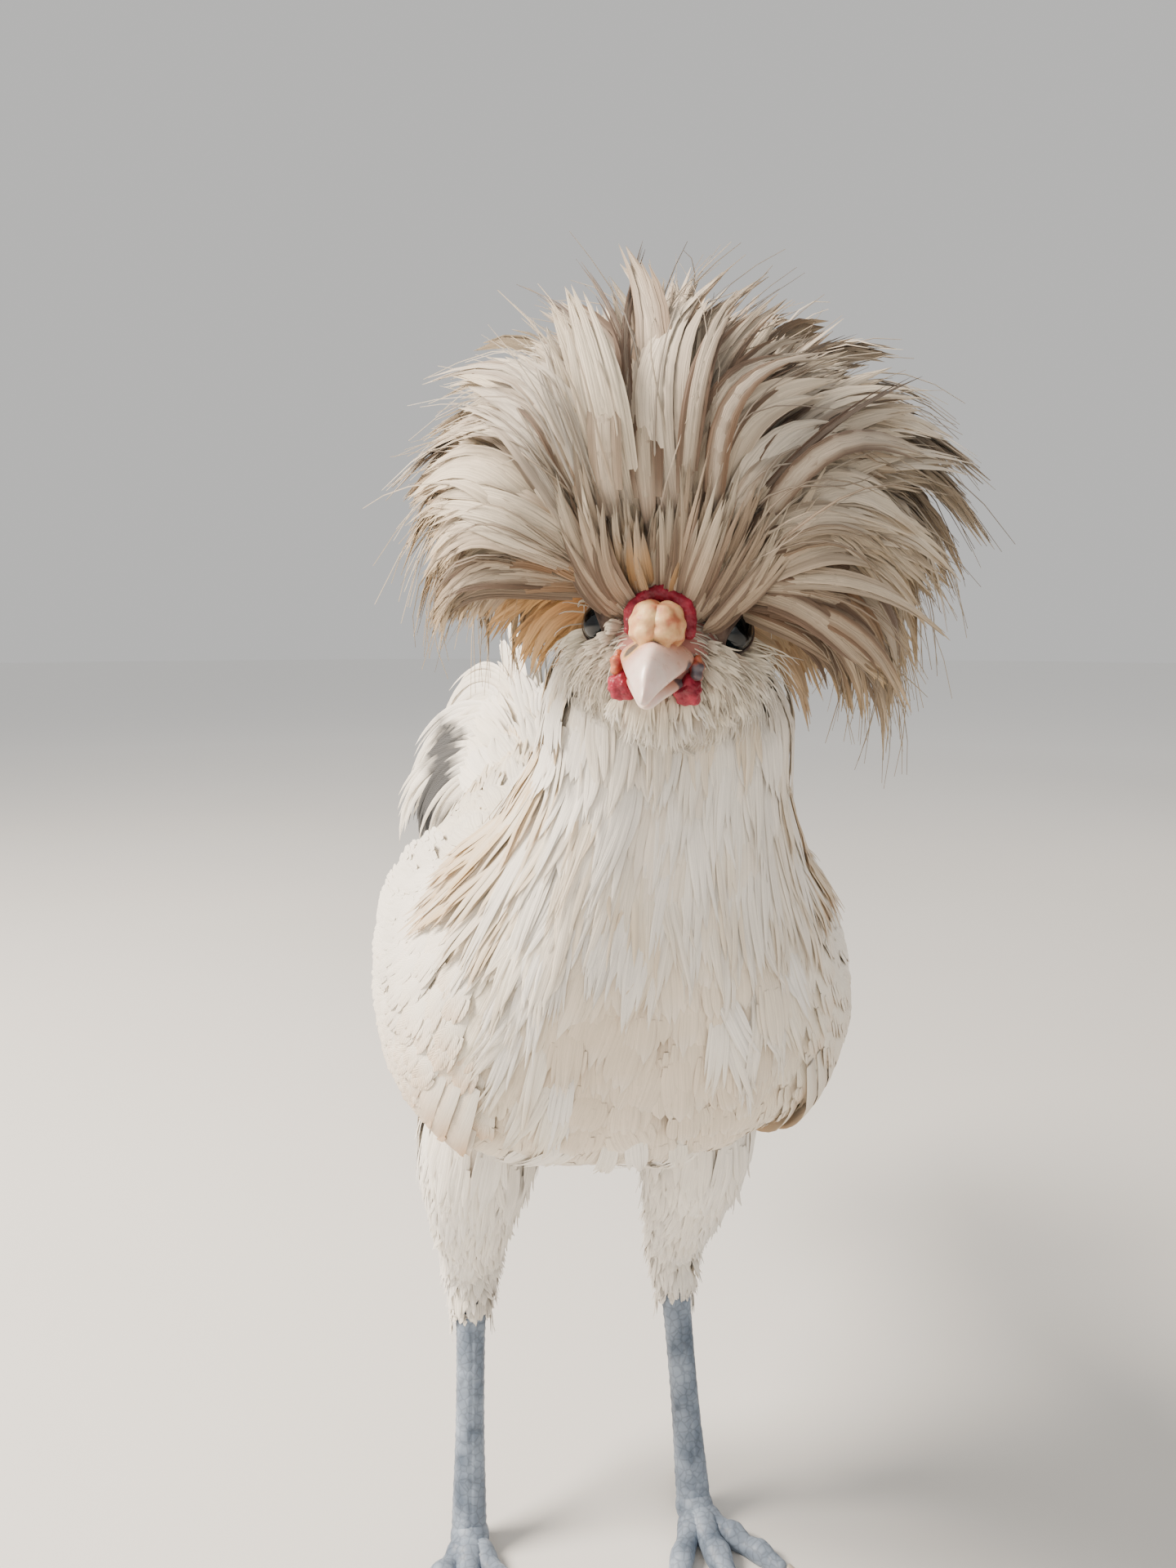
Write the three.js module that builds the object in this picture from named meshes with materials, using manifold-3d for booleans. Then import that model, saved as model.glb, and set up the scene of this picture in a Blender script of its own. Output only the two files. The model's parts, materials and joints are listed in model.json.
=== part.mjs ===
// A white Polish crested cockerel, bantam size, standing still, as a life-size model.
// Millimetres, +Z up, the bill towards -Y and the bird's left side towards +X.
// It stands on the floor with its origin under the middle of its outline.
import * as THREE from "three";
import { mergeVertices } from "three/addons/utils/BufferGeometryUtils.js";
import Module from "manifold-3d";

const wasm = await Module();
wasm.setup();

const gap = 0.3; // between neighbouring pieces
const seed = 23; // for the small differences between feathers

// The coat's outside from the tail root to the crown. Each station is a flat section: its middle,
// how far its upper side leans towards the tail in degrees, and its reach to each side, up and down.
const bodyStations = [
  { x: 0, y: 110, z: 256, lean: -50, half: 7, up: 6, down: 7 }, // end of the tail's root
  { x: 0, y: 93, z: 241, lean: -44, half: 14, up: 12, down: 14 },
  { x: 0, y: 71, z: 224, lean: -28, half: 29, up: 21, down: 28 }, // rump
  { x: 0, y: 38, z: 208, lean: -12, half: 45, up: 35, down: 43 },
  { x: 0, y: 4, z: 201, lean: 0, half: 54, up: 46, down: 49 },
  { x: 0, y: -30, z: 201, lean: 10, half: 56, up: 49, down: 50 },
  { x: 0, y: -58, z: 209, lean: 28, half: 53, up: 42, down: 46 },
  { x: 0, y: -76, z: 227, lean: 48, half: 43, up: 32, down: 34 }, // crop
  { x: 0.5, y: -86, z: 246, lean: 62, half: 32, up: 26, down: 26 }, // neck base
  { x: 1.5, y: -93, z: 263, lean: 69, half: 25.5, up: 23, down: 21 },
  { x: 1.5, y: -98, z: 277, lean: 72, half: 25, up: 23, down: 18 }, // under the head
  { x: 0.5, y: -101, z: 291, lean: 76, half: 22, up: 21, down: 13 }, // behind the eyes
  { x: 0, y: -102, z: 303, lean: 80, half: 15, up: 14, down: 9 }, // back of the crown
];
const cuts = { tail: 1.35, saddle: 3, neck: 8, head: 10 }; // where one piece ends and the next begins
const squareness = 2.4; // of the flat sections: 2 would be an ellipse

// The face, in the head's own frame: origin midway between the eyes, bill towards -Y.
const headPlace = { x: -5, y: -122, z: 293, turn: -21, nod: 10, tip: 4 }; // degrees
const faceStations = [
  { y: -16, z: -5, half: 4.4, up: 4, down: 3.6 }, // under the bill's root
  { y: -12, z: -4, half: 7, up: 6.4, down: 6.4 },
  { y: -6, z: -2.5, half: 10, up: 9, down: 9.6 },
  { y: 1, z: -1, half: 12.4, up: 10.6, down: 12.4 },
  { y: 12, z: 0, half: 14.6, up: 11.6, down: 14 },
  { y: 24, z: 0, half: 11, up: 10, down: 11 },
];
const eye = { side: 12, y: -0.5, z: 0.5, radius: 4.2, socket: 4.75, lid: 0.9 };

// The bill: flat sections across it, from inside the face to its tip.
const upperBill = [
  { y: -12.5, z: -3.4, half: 5.6, up: 3.6, down: 2.2 },
  { y: -17, z: -3.8, half: 5.4, up: 3.9, down: 2.2 },
  { y: -22, z: -4.9, half: 4.4, up: 3.7, down: 2 },
  { y: -27, z: -6.8, half: 3, up: 3, down: 2 },
  { y: -30.4, z: -9.2, half: 1.2, up: 1.5, down: 1.3 },
];
const lowerBill = [
  { y: -12.5, z: -7.3, half: 5, up: 1.5, down: 2.2 },
  { y: -17, z: -7.8, half: 4.6, up: 1.5, down: 2.2 },
  { y: -22, z: -8.8, half: 3.4, up: 1.3, down: 1.9 },
  { y: -26.6, z: -10.7, half: 1.5, up: 0.8, down: 1.2 },
];
const nasalBulb = { y: -14.6, z: 1.6, half: 4.4, long: 5.4, tall: 4.8, apart: 1.9 };
const comb = { y: -10.6, z: 2.4, radius: 7, thick: 1.6, lean: 12, open: 98 };
const wattle = { side: 7.2, y: -13.4, z: -11.2, half: 3.4, long: 2.6, tall: 4.4 };
const nostril = { side: 4.6, y: -17.4, z: -1.9, radius: 1.1, long: 3.2 };

// The muff and beard: short locks that leave the face in a ring under the eyes and curve back
// and down, in the head's frame. Bearings run from one eye, under the bill, to the other.
const muff = {
  rows: [
    { count: 7, ring: 9.5, back: 1, length: 15, width: 9.6 },
    { count: 6, ring: 13, back: 7, length: 18, width: 12 },
  ],
  spread: 98,
};

// The crest, in a frame of its own at the crown: feathers from a knob of roots on the crown to a
// ball of tips. A ring holds the feathers whose tips lie at one angle from straight up. A ring
// leaves out a window round the face, in degrees each side.
const crest = {
  crown: { x: -1, y: 9, z: 7 },
  knob: { x: 13, y: 14, z: 7 },
  core: { x: 28, y: 24, z: 22, x0: 0, y0: 11, z0: 15 },
  ball: { x: 60, front: 46, back: 58, z: 49, x0: -1, y0: 8, z0: 12 },
  rings: [
    { tip: 17, count: 4, width: 19, window: 0, rows: 3 },
    { tip: 40, count: 6, width: 24, window: 0, rows: 3 },
    { tip: 62, count: 8, width: 25, window: 0, rows: 3 },
    { tip: 84, count: 8, width: 25, window: 30, rows: 3 },
    { tip: 104, count: 7, width: 25, window: 44, rows: 4 },
    { tip: 122, count: 7, width: 24, window: 58, rows: 4 },
    { tip: 136, count: 5, width: 22, window: 80, rows: 3 },
  ],
  thick: 1.6,
  lowerLeft: 6, // degrees by which the side feathers droop more on the bird's left
  shorterBack: 4, // and by which they droop less over the nape
};
// Shorter feathers over the forehead, behind the comb: reach is their share of the way to the ball.
const brow = [
  { count: 5, spread: 70, tip: 44, reach: 0.92, width: 18 },
  { count: 6, spread: 88, tip: 70, reach: 0.72, width: 13 },
];

// Lanceolate hackles: paths along the coat from one station to another, at an angle round the
// body (0 is the bird's left, 90 the back), with their lift off the coat. Every second one lies
// a layer higher.
const layer = 1.7;
const hackleRows = [
  { count: 11, from: 9.75, to: 6.9, low: -12, high: 192, width: 12, lift: 2.6 },
  { count: 11, from: 9.2, to: 6.1, low: -4, high: 184, width: 12, lift: 0.9 },
];
const saddleRows = [
  { count: 5, from: 2.75, to: 1.2, top: 70, low: 4, spread: 18, width: 10, lift: 2.4 },
  { count: 3, from: 2.35, to: 0.95, top: 74, low: 26, spread: 14, width: 10, lift: 0.8 },
];

// A folded wing: a thin pad on the coat, and tiers of vanes. Each tier runs from root to tip in
// stations and degrees above the middle of the side, lowest vane first.
const under = 2; // the wing's underside off the coat
const wing = {
  pad: { middle: 5.15, long: 2.05, angle: -6, high: 46, thick: 5 },
  tiers: [
    { count: 3, root: [4.2, -34], tip: [2.2, -34], rootStep: 6, tipStep: [-0.16, 9], width: 11, lift: 2.6 },
    { count: 6, root: [5.3, -46], tip: [3.55, -50], rootStep: 12, tipStep: [-0.19, 13.2], width: 15.5, lift: 3.4 },
    { count: 6, root: [6.1, -44], tip: [4.6, -49], rootStep: 13.6, tipStep: [-0.04, 14.4], width: 16, lift: 5.2 },
    { count: 4, root: [6.75, -28], tip: [5.6, -36], rootStep: 18, tipStep: [0, 20.5], width: 17.5, lift: 6.2 },
  ],
  roll: 8, // each vane's lower edge lies over the next one's upper edge
  thick: 1.2,
};

// The tail, from the end of the body. Angles are above the floor, going back; splay is how far
// a vane leans out to its side. A vane bends down by its curl and out by its flare on its way.
const tail = {
  root: { side: 4, y: 97, z: 241 },
  main: { count: 4, low: -4, high: 34, length: 84, width: 24, splayLow: 22, splayHigh: 5, curl: 8 },
  tiers: [
    { count: 1, low: 38, high: 38, length: 132, width: 16, splayLow: 8, splayHigh: 8, curl: 104, flare: 18 },
    { count: 3, low: 16, high: 38, length: 102, width: 16, splayLow: 38, splayHigh: 18, curl: 112, flare: 14 },
    { count: 3, low: 4, high: 42, length: 76, width: 19, splayLow: 52, splayHigh: 32, curl: 112, flare: 8 },
  ],
  thick: 1.4,
};

// Legs: the feathered thigh, the bare shank and the foot, for the bird's left.
const hock = { x: 34, y: 20, z: 80 };
const ankle = { x: 37, y: 2, z: 8 };
const thigh = [
  { x: 29, y: -14, z: 172, radius: 18, deep: 27 },
  { x: 32, y: -10, z: 150, radius: 18, deep: 25 },
  { x: 34, y: 0, z: 127, radius: 15, deep: 19 },
  { x: 34.3, y: 11, z: 105, radius: 11, deep: 12.6 },
  { x: 34, y: 19.5, z: 88, radius: 8.4, deep: 9.2 },
  { x: 34.4, y: 18.6, z: 71, radius: 7.4, deep: 7.8 },
];
const shank = { hock: 5.7, neck: 4.6, middle: 4.5, ankle: 5.4, scutes: 8, rise: 0.6 };
const toes = [
  { name: "inner", turn: -34, length: 33, root: 4.1, tip: 2.7, joints: 2 },
  { name: "middle", turn: 0, length: 44, root: 4.5, tip: 2.8, joints: 3 },
  { name: "outer", turn: 33, length: 35, root: 4.1, tip: 2.6, joints: 3 },
  { name: "hind", turn: 172, length: 17, root: 3.4, tip: 2.5, joints: 1 },
];
const footTurn = 7; // degrees that each foot points outwards
const claw = { length: 8, radius: 1.9, drop: 0.5, seat: 0.9 };
const sole = 0.8; // how much of the toes' underside is pressed flat

const degrees = Math.PI / 180;
const up = new THREE.Vector3(0, 0, 1);
const sides = { left: 1, right: -1 };

// A repeatable random number from -1 to 1, different for each whole number n.
function vary(n) {
  const wave = Math.sin((n + 1) * 127.1 + seed * 311.7) * 43758.5453;
  return 2 * (wave - Math.floor(wave)) - 1;
}

function mix(a, b, t) {
  return a + (b - a) * t;
}

function solidOf(geometry) {
  const bare = geometry.clone();
  bare.deleteAttribute("normal");
  bare.deleteAttribute("uv");
  const merged = mergeVertices(bare, 1e-4);
  const solid = new wasm.Manifold(
    new wasm.Mesh({
      numProp: 3,
      vertProperties: merged.attributes.position.array,
      triVerts: new Uint32Array(merged.index.array),
    }),
  );
  if (solid.volume() <= 0) throw new Error("a piece is inside out");
  return solid;
}

function geometryOf(solid) {
  const { numProp, numVert, vertProperties, triVerts } = solid.getMesh();
  const places = new Float32Array(numVert * 3);
  for (let i = 0; i < numVert; i++) {
    places.set(vertProperties.subarray(i * numProp, i * numProp + 3), i * 3);
  }
  const geometry = new THREE.BufferGeometry();
  geometry.setAttribute("position", new THREE.BufferAttribute(places, 3));
  geometry.setIndex(new THREE.BufferAttribute(triVerts, 1));
  geometry.computeVertexNormals();
  return geometry;
}

// Only the largest closed surface of a solid, without loose scraps or sealed hollows.
function largest(solid) {
  return solid.decompose().reduce((a, b) => (b.volume() > a.volume() ? b : a));
}

function union(pieces) {
  return pieces.reduce((a, b) => a.add(b));
}

// A closed tube made by moving a cylinder's vertices: place(t, angle) is the surface at the share
// t from start to end and the angle round it.
function tube(place, around, rows) {
  const geometry = new THREE.CylinderGeometry(1, 1, 1, around, rows);
  const position = geometry.attributes.position;
  for (let i = 0; i < position.count; i++) {
    const spot = new THREE.Vector3().fromBufferAttribute(position, i);
    const reach = Math.min(1, Math.hypot(spot.x, spot.z));
    const p = place(spot.y + 0.5, Math.atan2(spot.z, spot.x), reach);
    position.setXYZ(i, p.x, p.y, p.z);
  }
  return solidOf(geometry);
}

function ball(centre, radii, around = 14, rows = 9) {
  const geometry = new THREE.SphereGeometry(1, around, rows);
  geometry.scale(radii.x, radii.y, radii.z);
  geometry.translate(centre.x, centre.y, centre.z);
  return solidOf(geometry);
}

function catmullRom(points) {
  return new THREE.CatmullRomCurve3(points, false, "catmullrom", 0.5);
}

const last = bodyStations.length - 1;
const bodyMiddle = catmullRom(bodyStations.map((s) => new THREE.Vector3(s.x, s.y, s.z)));
const bodyReach = catmullRom(bodyStations.map((s) => new THREE.Vector3(s.half, s.up, s.down)));
const bodyLean = catmullRom(bodyStations.map((s, i) => new THREE.Vector3(i, s.lean, 0)));

// The coat's surface at a station (a number from 0 to 12), an angle in degrees round it
// (0 is the bird's left, 90 its back) and a share of the way out from the middle.
function coatSpot(station, angle, share = 1) {
  const t = THREE.MathUtils.clamp(station / last, 0, 1);
  const middle = bodyMiddle.getPoint(t);
  const reach = bodyReach.getPoint(t);
  const lean = bodyLean.getPoint(t).y * degrees;
  const rounded = (v) => Math.sign(v) * Math.abs(v) ** (2 / squareness);
  const across = rounded(Math.cos(angle * degrees)) * reach.x * share;
  const rise = rounded(Math.sin(angle * degrees)) * share;
  const tall = rise * (rise > 0 ? reach.y : reach.z);
  return new THREE.Vector3(
    middle.x + across,
    middle.y + tall * Math.sin(lean),
    middle.z + tall * Math.cos(lean),
  );
}

function coatNormal(station, angle) {
  const small = 0.02;
  const along = coatSpot(station + small, angle).sub(coatSpot(station - small, angle));
  const round = coatSpot(station, angle + 1).sub(coatSpot(station, angle - 1));
  return round.cross(along).normalize();
}

function liftedSpot(station, angle, lift) {
  return coatSpot(station, angle).addScaledVector(coatNormal(station, angle), lift);
}

// The coat between two stations as a solid, grown outwards by lift.
function coatPiece(from, to, around, rows, lift = 0) {
  return tube(
    (t, angle, reach) => {
      const station = mix(from, to, t);
      const turn = -angle / degrees;
      const spot = coatSpot(station, turn, reach);
      return lift && reach > 0.5 ? spot.addScaledVector(coatNormal(station, turn), lift) : spot;
    },
    around,
    rows,
  );
}

// A feather or lock: a flat, tapered blade with a raised midrib. Its spine is a list of points
// with the blade's outward normal at each; widthAt gives its width along it. Its two outer faces
// and its flat underside are split alike, so they don't cross where the blade bends.
function blade(spine, widthAt, thick, roll = 0) {
  const count = spine.length;
  const places = [];
  for (let i = 0; i < count; i++) {
    const ahead = spine[Math.min(i + 1, count - 1)].point;
    const behind = spine[Math.max(i - 1, 0)].point;
    const along = ahead.clone().sub(behind).normalize();
    const normal = spine[i].normal.clone().applyAxisAngle(along, roll * degrees);
    const side = along.clone().cross(normal).normalize();
    normal.crossVectors(side, along).normalize();
    const width = widthAt(i / (count - 1)) / 2;
    const rise = i === count - 1 ? 0.3 : thick;
    const flat = spine[i].point.clone().addScaledVector(normal, -0.3 * rise);
    places.push(
      flat.clone().addScaledVector(side, width),
      flat.clone().addScaledVector(side, -width),
      spine[i].point.clone().addScaledVector(normal, 0.7 * rise),
    );
  }
  const faces = [0, 2, 1];
  for (let i = 0; i + 1 < count; i++) {
    const a = 3 * i;
    const b = a + 3;
    faces.push(a, a + 1, b + 1, a, b + 1, b);
    faces.push(a + 1, a + 2, b + 1, a + 2, b + 2, b + 1);
    faces.push(a + 2, a, b, a + 2, b, b + 2);
  }
  const end = 3 * (count - 1);
  faces.push(end, end + 1, end + 2);
  const geometry = new THREE.BufferGeometry().setFromPoints(places);
  geometry.setIndex(faces);
  return solidOf(geometry);
}

const lanceolate = (width) => (t) => width * (0.45 + 0.55 * Math.sin(Math.PI * Math.min(1, t + 0.22))) *
  (1 - 0.88 * t ** 4);
const plume = (width) => (t) => width * (0.36 + 0.64 * Math.sin(Math.PI * Math.min(1, 0.6 * t + 0.02))) *
  (1 - 0.84 * t ** 6);
const vane = (width) => (t) => width * Math.min(1, 0.5 + 1.6 * t) * (1 - 0.62 * t ** 9);

// A spine along the coat, from one station and angle to another. lifts are its height off the
// coat at its root, where it lies over its neighbours, and at its tip.
function coatSpine(from, to, lifts, rows) {
  const spine = [];
  for (let i = 0; i <= rows; i++) {
    const t = i / rows;
    const station = mix(from[0], to[0], t);
    const angle = mix(from[1], to[1], t);
    const lift = t < 0.3 ? mix(lifts[0], lifts[1], t / 0.3) : mix(lifts[1], lifts[2], (t - 0.3) / 0.7);
    spine.push({ point: liftedSpot(station, angle, lift), normal: coatNormal(station, angle) });
  }
  return spine;
}

// The solid on the upper side of a level plane, for what is pressed flat on the floor.
function aboveFloor(solid) {
  return solid.trimByPlane([0, 0, 1], 0);
}

const toWorld = new THREE.Matrix4().compose(
  new THREE.Vector3(headPlace.x, headPlace.y, headPlace.z),
  new THREE.Quaternion().setFromEuler(
    new THREE.Euler(headPlace.nod * degrees, headPlace.tip * degrees, headPlace.turn * degrees, "ZXY"),
  ),
  new THREE.Vector3(1, 1, 1),
);

// The face's frame to the bird's.
function inHead(solid) {
  return solid.transform([...toWorld.elements]);
}

function headPoint(x, y, z) {
  return new THREE.Vector3(x, y, z).applyMatrix4(toWorld);
}

// A tube through flat upright sections along Y, in the head's frame.
function sectionTube(stations, around, rows, grow = 0) {
  const middle = catmullRom(stations.map((s) => new THREE.Vector3(0, s.y, s.z)));
  const reach = catmullRom(stations.map((s) => new THREE.Vector3(s.half, s.up, s.down)));
  const way = Math.sign(stations.at(-1).y - stations[0].y); // towards the tail or the bill
  return tube(
    (t, angle, share) => {
      const centre = middle.getPoint(t);
      const size = reach.getPoint(t);
      const rise = way * Math.sin(angle);
      const tall = rise * ((rise > 0 ? size.y : size.z) + grow);
      return new THREE.Vector3(
        Math.cos(angle) * (size.x + grow) * share,
        centre.y + way * (t === 0 ? -grow : t === 1 ? grow : 0),
        centre.z + tall * share,
      );
    },
    around,
    rows,
  );
}

function faceSolid(grow = 0) {
  return inHead(sectionTube(faceStations, 14, 6, grow));
}

function eyeSpot(side) {
  return { x: side * eye.side, y: eye.y, z: eye.z };
}

function makeEye(side) {
  const r = eye.radius;
  return inHead(ball(eyeSpot(side), { x: r, y: r, z: r }, 10, 7));
}

// Eyelids: a soft ring round each eye, lying in the plane of the cheek.
function makeLid(side) {
  const ring = new THREE.TorusGeometry(eye.radius + 0.1, eye.lid, 4, 10);
  ring.scale(1, 0.86, 1);
  ring.rotateY((90 - 12) * degrees * side);
  ring.translate(side * (eye.side + 1.9), eye.y - 0.4, eye.z);
  return inHead(solidOf(ring));
}

function billPiece(stations, grow = 0) {
  return sectionTube(stations, 8, 5, grow);
}

// The two bulbs of the raised, cavernous nostrils, joined along the middle.
function nasalBulbSolid(grow = 0) {
  const { y, z, half, long, tall, apart } = nasalBulb;
  return union([-1, 1].map((side) =>
    ball({ x: side * apart, y, z }, { x: half - apart + 1.4 + grow, y: long + grow, z: tall + grow }, 10, 6)));
}

function nostrilHole(side) {
  const { side: out, y, z, radius, long } = nostril;
  return ball({ x: side * out, y, z }, { x: 1.5, y: long / 2, z: radius }, 8, 5);
}

// The little horseshoe comb that hugs the top of the nasal bulb, low at its middle.
function combSolid(grow = 0) {
  const { y, z, radius, thick, lean, open } = comb;
  return tube(
    (t, angle, share) => {
      const turn = mix(-open, open, t) * degrees; // 0 is the top of the arch
      const bead = thick * (0.82 + 0.18 * Math.cos(6 * turn)) * Math.min(1, 0.5 + 4 * t * (1 - t));
      const out = radius + Math.cos(angle) * (bead + grow) * share;
      const rise = out * Math.cos(turn);
      const along = -Math.sin(angle) * (bead + grow) * share;
      return new THREE.Vector3(
        out * Math.sin(turn),
        y + rise * Math.sin(lean * degrees) - along * Math.cos(lean * degrees),
        z + rise * Math.cos(lean * degrees) + along * Math.sin(lean * degrees),
      );
    },
    7,
    12,
  );
}

function wattleSolid(side, grow = 0) {
  const { side: out, y, z, half, long, tall } = wattle;
  return ball({ x: side * out, y, z }, { x: half * 0.6 + grow, y: long + grow, z: tall + grow }, 8, 6);
}

const model = new THREE.Group();
const finishes = {
  coat: { color: 0xefe8da, roughness: 0.9, metalness: 0 },
  crest: { color: 0xdfd5c2, roughness: 0.9, metalness: 0 },
  hackle: { color: 0xf0e5ce, roughness: 0.85, metalness: 0 },
  horn: { color: 0xd8c4b4, roughness: 0.4, metalness: 0 },
  bulb: { color: 0xc99a6a, roughness: 0.6, metalness: 0 },
  comb: { color: 0x9c2233, roughness: 0.55, metalness: 0 },
  eye: { color: 0x1a1210, roughness: 0.08, metalness: 0 },
  slate: { color: 0x7f8da0, roughness: 0.6, metalness: 0 },
  claw: { color: 0x9c948c, roughness: 0.5, metalness: 0 },
};

function addNode(name, finish, solid) {
  const mesh = new THREE.Mesh(geometryOf(largest(solid)), new THREE.MeshStandardMaterial(finishes[finish]));
  mesh.name = name;
  model.add(mesh);
}

// How far apart two stations' flat cuts are moved so that the pieces keep their gap.
function stationAfter(station) {
  const here = bodyMiddle.getPoint(station / last);
  const step = 0.05;
  const beyond = bodyMiddle.getPoint((station + step) / last);
  return station + (step * gap * 1.6) / here.distanceTo(beyond);
}

function torsoSolid(grow = 0) {
  const from = grow ? cuts.saddle : stationAfter(cuts.saddle);
  return coatPiece(from, cuts.neck, 20, 10, grow);
}

function makeSaddle() {
  const pieces = [coatPiece(stationAfter(cuts.tail), cuts.saddle, 20, 5)];
  let n = 0;
  for (const row of saddleRows) {
    for (const turn of [1, -1]) {
      for (let i = 0; i < row.count; i++) {
        const share = i / (row.count - 1);
        const angle = 90 - turn * (90 - mix(row.top, row.low, share));
        const lift = row.lift + layer * (i % 2);
        const spine = coatSpine([row.from - 0.12 * share, angle],
          [row.to + 0.4 * share + 0.1 * vary(n), angle - turn * row.spread], [-1.4, lift, lift + 1.2], 4);
        pieces.push(blade(spine, lanceolate(row.width), 1.2));
        n += 1;
      }
    }
  }
  return union(pieces);
}

function neckCore(grow = 0) {
  return coatPiece(grow ? cuts.neck : stationAfter(cuts.neck), cuts.head, 16, 3, grow);
}

function makeNeck() {
  const pieces = [neckCore()];
  let n = 40;
  for (const row of hackleRows) {
    for (let i = 0; i < row.count; i++) {
      const angle = mix(row.low, row.high, i / (row.count - 1));
      const outward = Math.abs(angle - 90) / 100; // 1 at the bird's sides, over the wings
      const lift = row.lift + layer * (i % 2);
      const reach = row.to + 0.12 * vary(n) + 0.3 * outward;
      const spine = coatSpine([row.from, angle], [reach, angle + 3 * vary(n + 500)],
        [-1.2, lift, lift + 2 + 8 * outward ** 3], 4);
      pieces.push(blade(spine, lanceolate(row.width), 1.3));
      n += 1;
    }
  }
  return union(pieces);
}

function muffLocks() {
  const locks = [];
  let n = 90;
  for (const row of muff.rows) {
    for (let i = 0; i < row.count; i++) {
      const bearing = mix(-muff.spread, muff.spread, i / (row.count - 1)) * degrees; // 0 is down
      const out = new THREE.Vector3(Math.sin(bearing), 0, -Math.cos(bearing));
      const root = new THREE.Vector3(0, row.back - 2, -2).addScaledVector(out, row.ring);
      const spine = [];
      for (let j = 0; j <= 2; j++) {
        const t = j / 2;
        const point = root.clone().addScaledVector(out, row.length * (0.95 * t - 0.28 * t * t));
        point.y += row.length * (0.2 * t + 0.5 * t * t) + 1.2 * vary(n) * t;
        point.z -= row.length * 0.34 * t * t;
        const normal = new THREE.Vector3(0, -1, 0).addScaledVector(out, 0.4 + 1.3 * t).normalize();
        spine.push({
          point: point.applyMatrix4(toWorld),
          normal: normal.transformDirection(toWorld),
        });
      }
      locks.push(blade(spine, lanceolate(row.width), 1.3));
      n += 1;
    }
  }
  return locks;
}

function makeHead() {
  const column = coatPiece(stationAfter(cuts.head), last - 0.1, 14, 3);
  let head = union([column, faceSolid(), makeLid(1), makeLid(-1), ...muffLocks()]);
  for (const side of [1, -1]) {
    const r = eye.socket;
    head = head.subtract(inHead(ball(eyeSpot(side), { x: r, y: r, z: r }, 9, 6)));
    head = head.subtract(inHead(wattleSolid(side, gap)));
  }
  head = head.subtract(inHead(billPiece(upperBill, gap)));
  head = head.subtract(inHead(billPiece(lowerBill, gap)));
  head = head.subtract(inHead(nasalBulbSolid(gap)));
  return head.subtract(neckCore(gap));
}

const crestFrame = new THREE.Matrix4().compose(
  headPoint(crest.crown.x, crest.crown.y, crest.crown.z),
  new THREE.Quaternion().setFromEuler(
    new THREE.Euler(-4 * degrees, headPlace.tip * degrees, headPlace.turn * degrees, "ZXY"),
  ),
  new THREE.Vector3(1, 1, 1),
);

function crownSpot(bearing, tilt) {
  const out = Math.sin(tilt * degrees);
  return new THREE.Vector3(
    crest.knob.x * out * Math.sin(bearing * degrees),
    -crest.knob.y * out * Math.cos(bearing * degrees),
    crest.knob.z * Math.cos(tilt * degrees),
  );
}

function ballSpot(bearing, tilt, share = 1) {
  const { x, front, back, z, x0, y0, z0 } = crest.ball;
  const out = Math.sin(tilt * degrees) * share;
  const ahead = Math.cos(bearing * degrees);
  return new THREE.Vector3(
    x0 + x * out * Math.sin(bearing * degrees),
    y0 - (ahead > 0 ? front : back) * out * ahead,
    z0 + z * Math.cos(tilt * degrees) * share,
  );
}

// A crest feather's spine: it rises from the crown and bends over to its tip on the ball.
// Bearings are compass degrees round the upright, 0 ahead and 90 to the bird's left.
function crestSpine(bearing, tip, share, rows) {
  const curve = new THREE.QuadraticBezierCurve3(
    crownSpot(bearing, Math.min(88, 0.7 * tip)),
    ballSpot(bearing, 0.42 * tip, 0.94 * share),
    ballSpot(bearing, tip, share),
  );
  const across = new THREE.Vector3(Math.cos(bearing * degrees), Math.sin(bearing * degrees), 0);
  const spine = [];
  for (let i = 0; i <= rows; i++) {
    spine.push({
      point: curve.getPoint(i / rows).applyMatrix4(crestFrame),
      normal: curve.getTangent(i / rows).cross(across).transformDirection(crestFrame),
    });
  }
  return spine;
}

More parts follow.
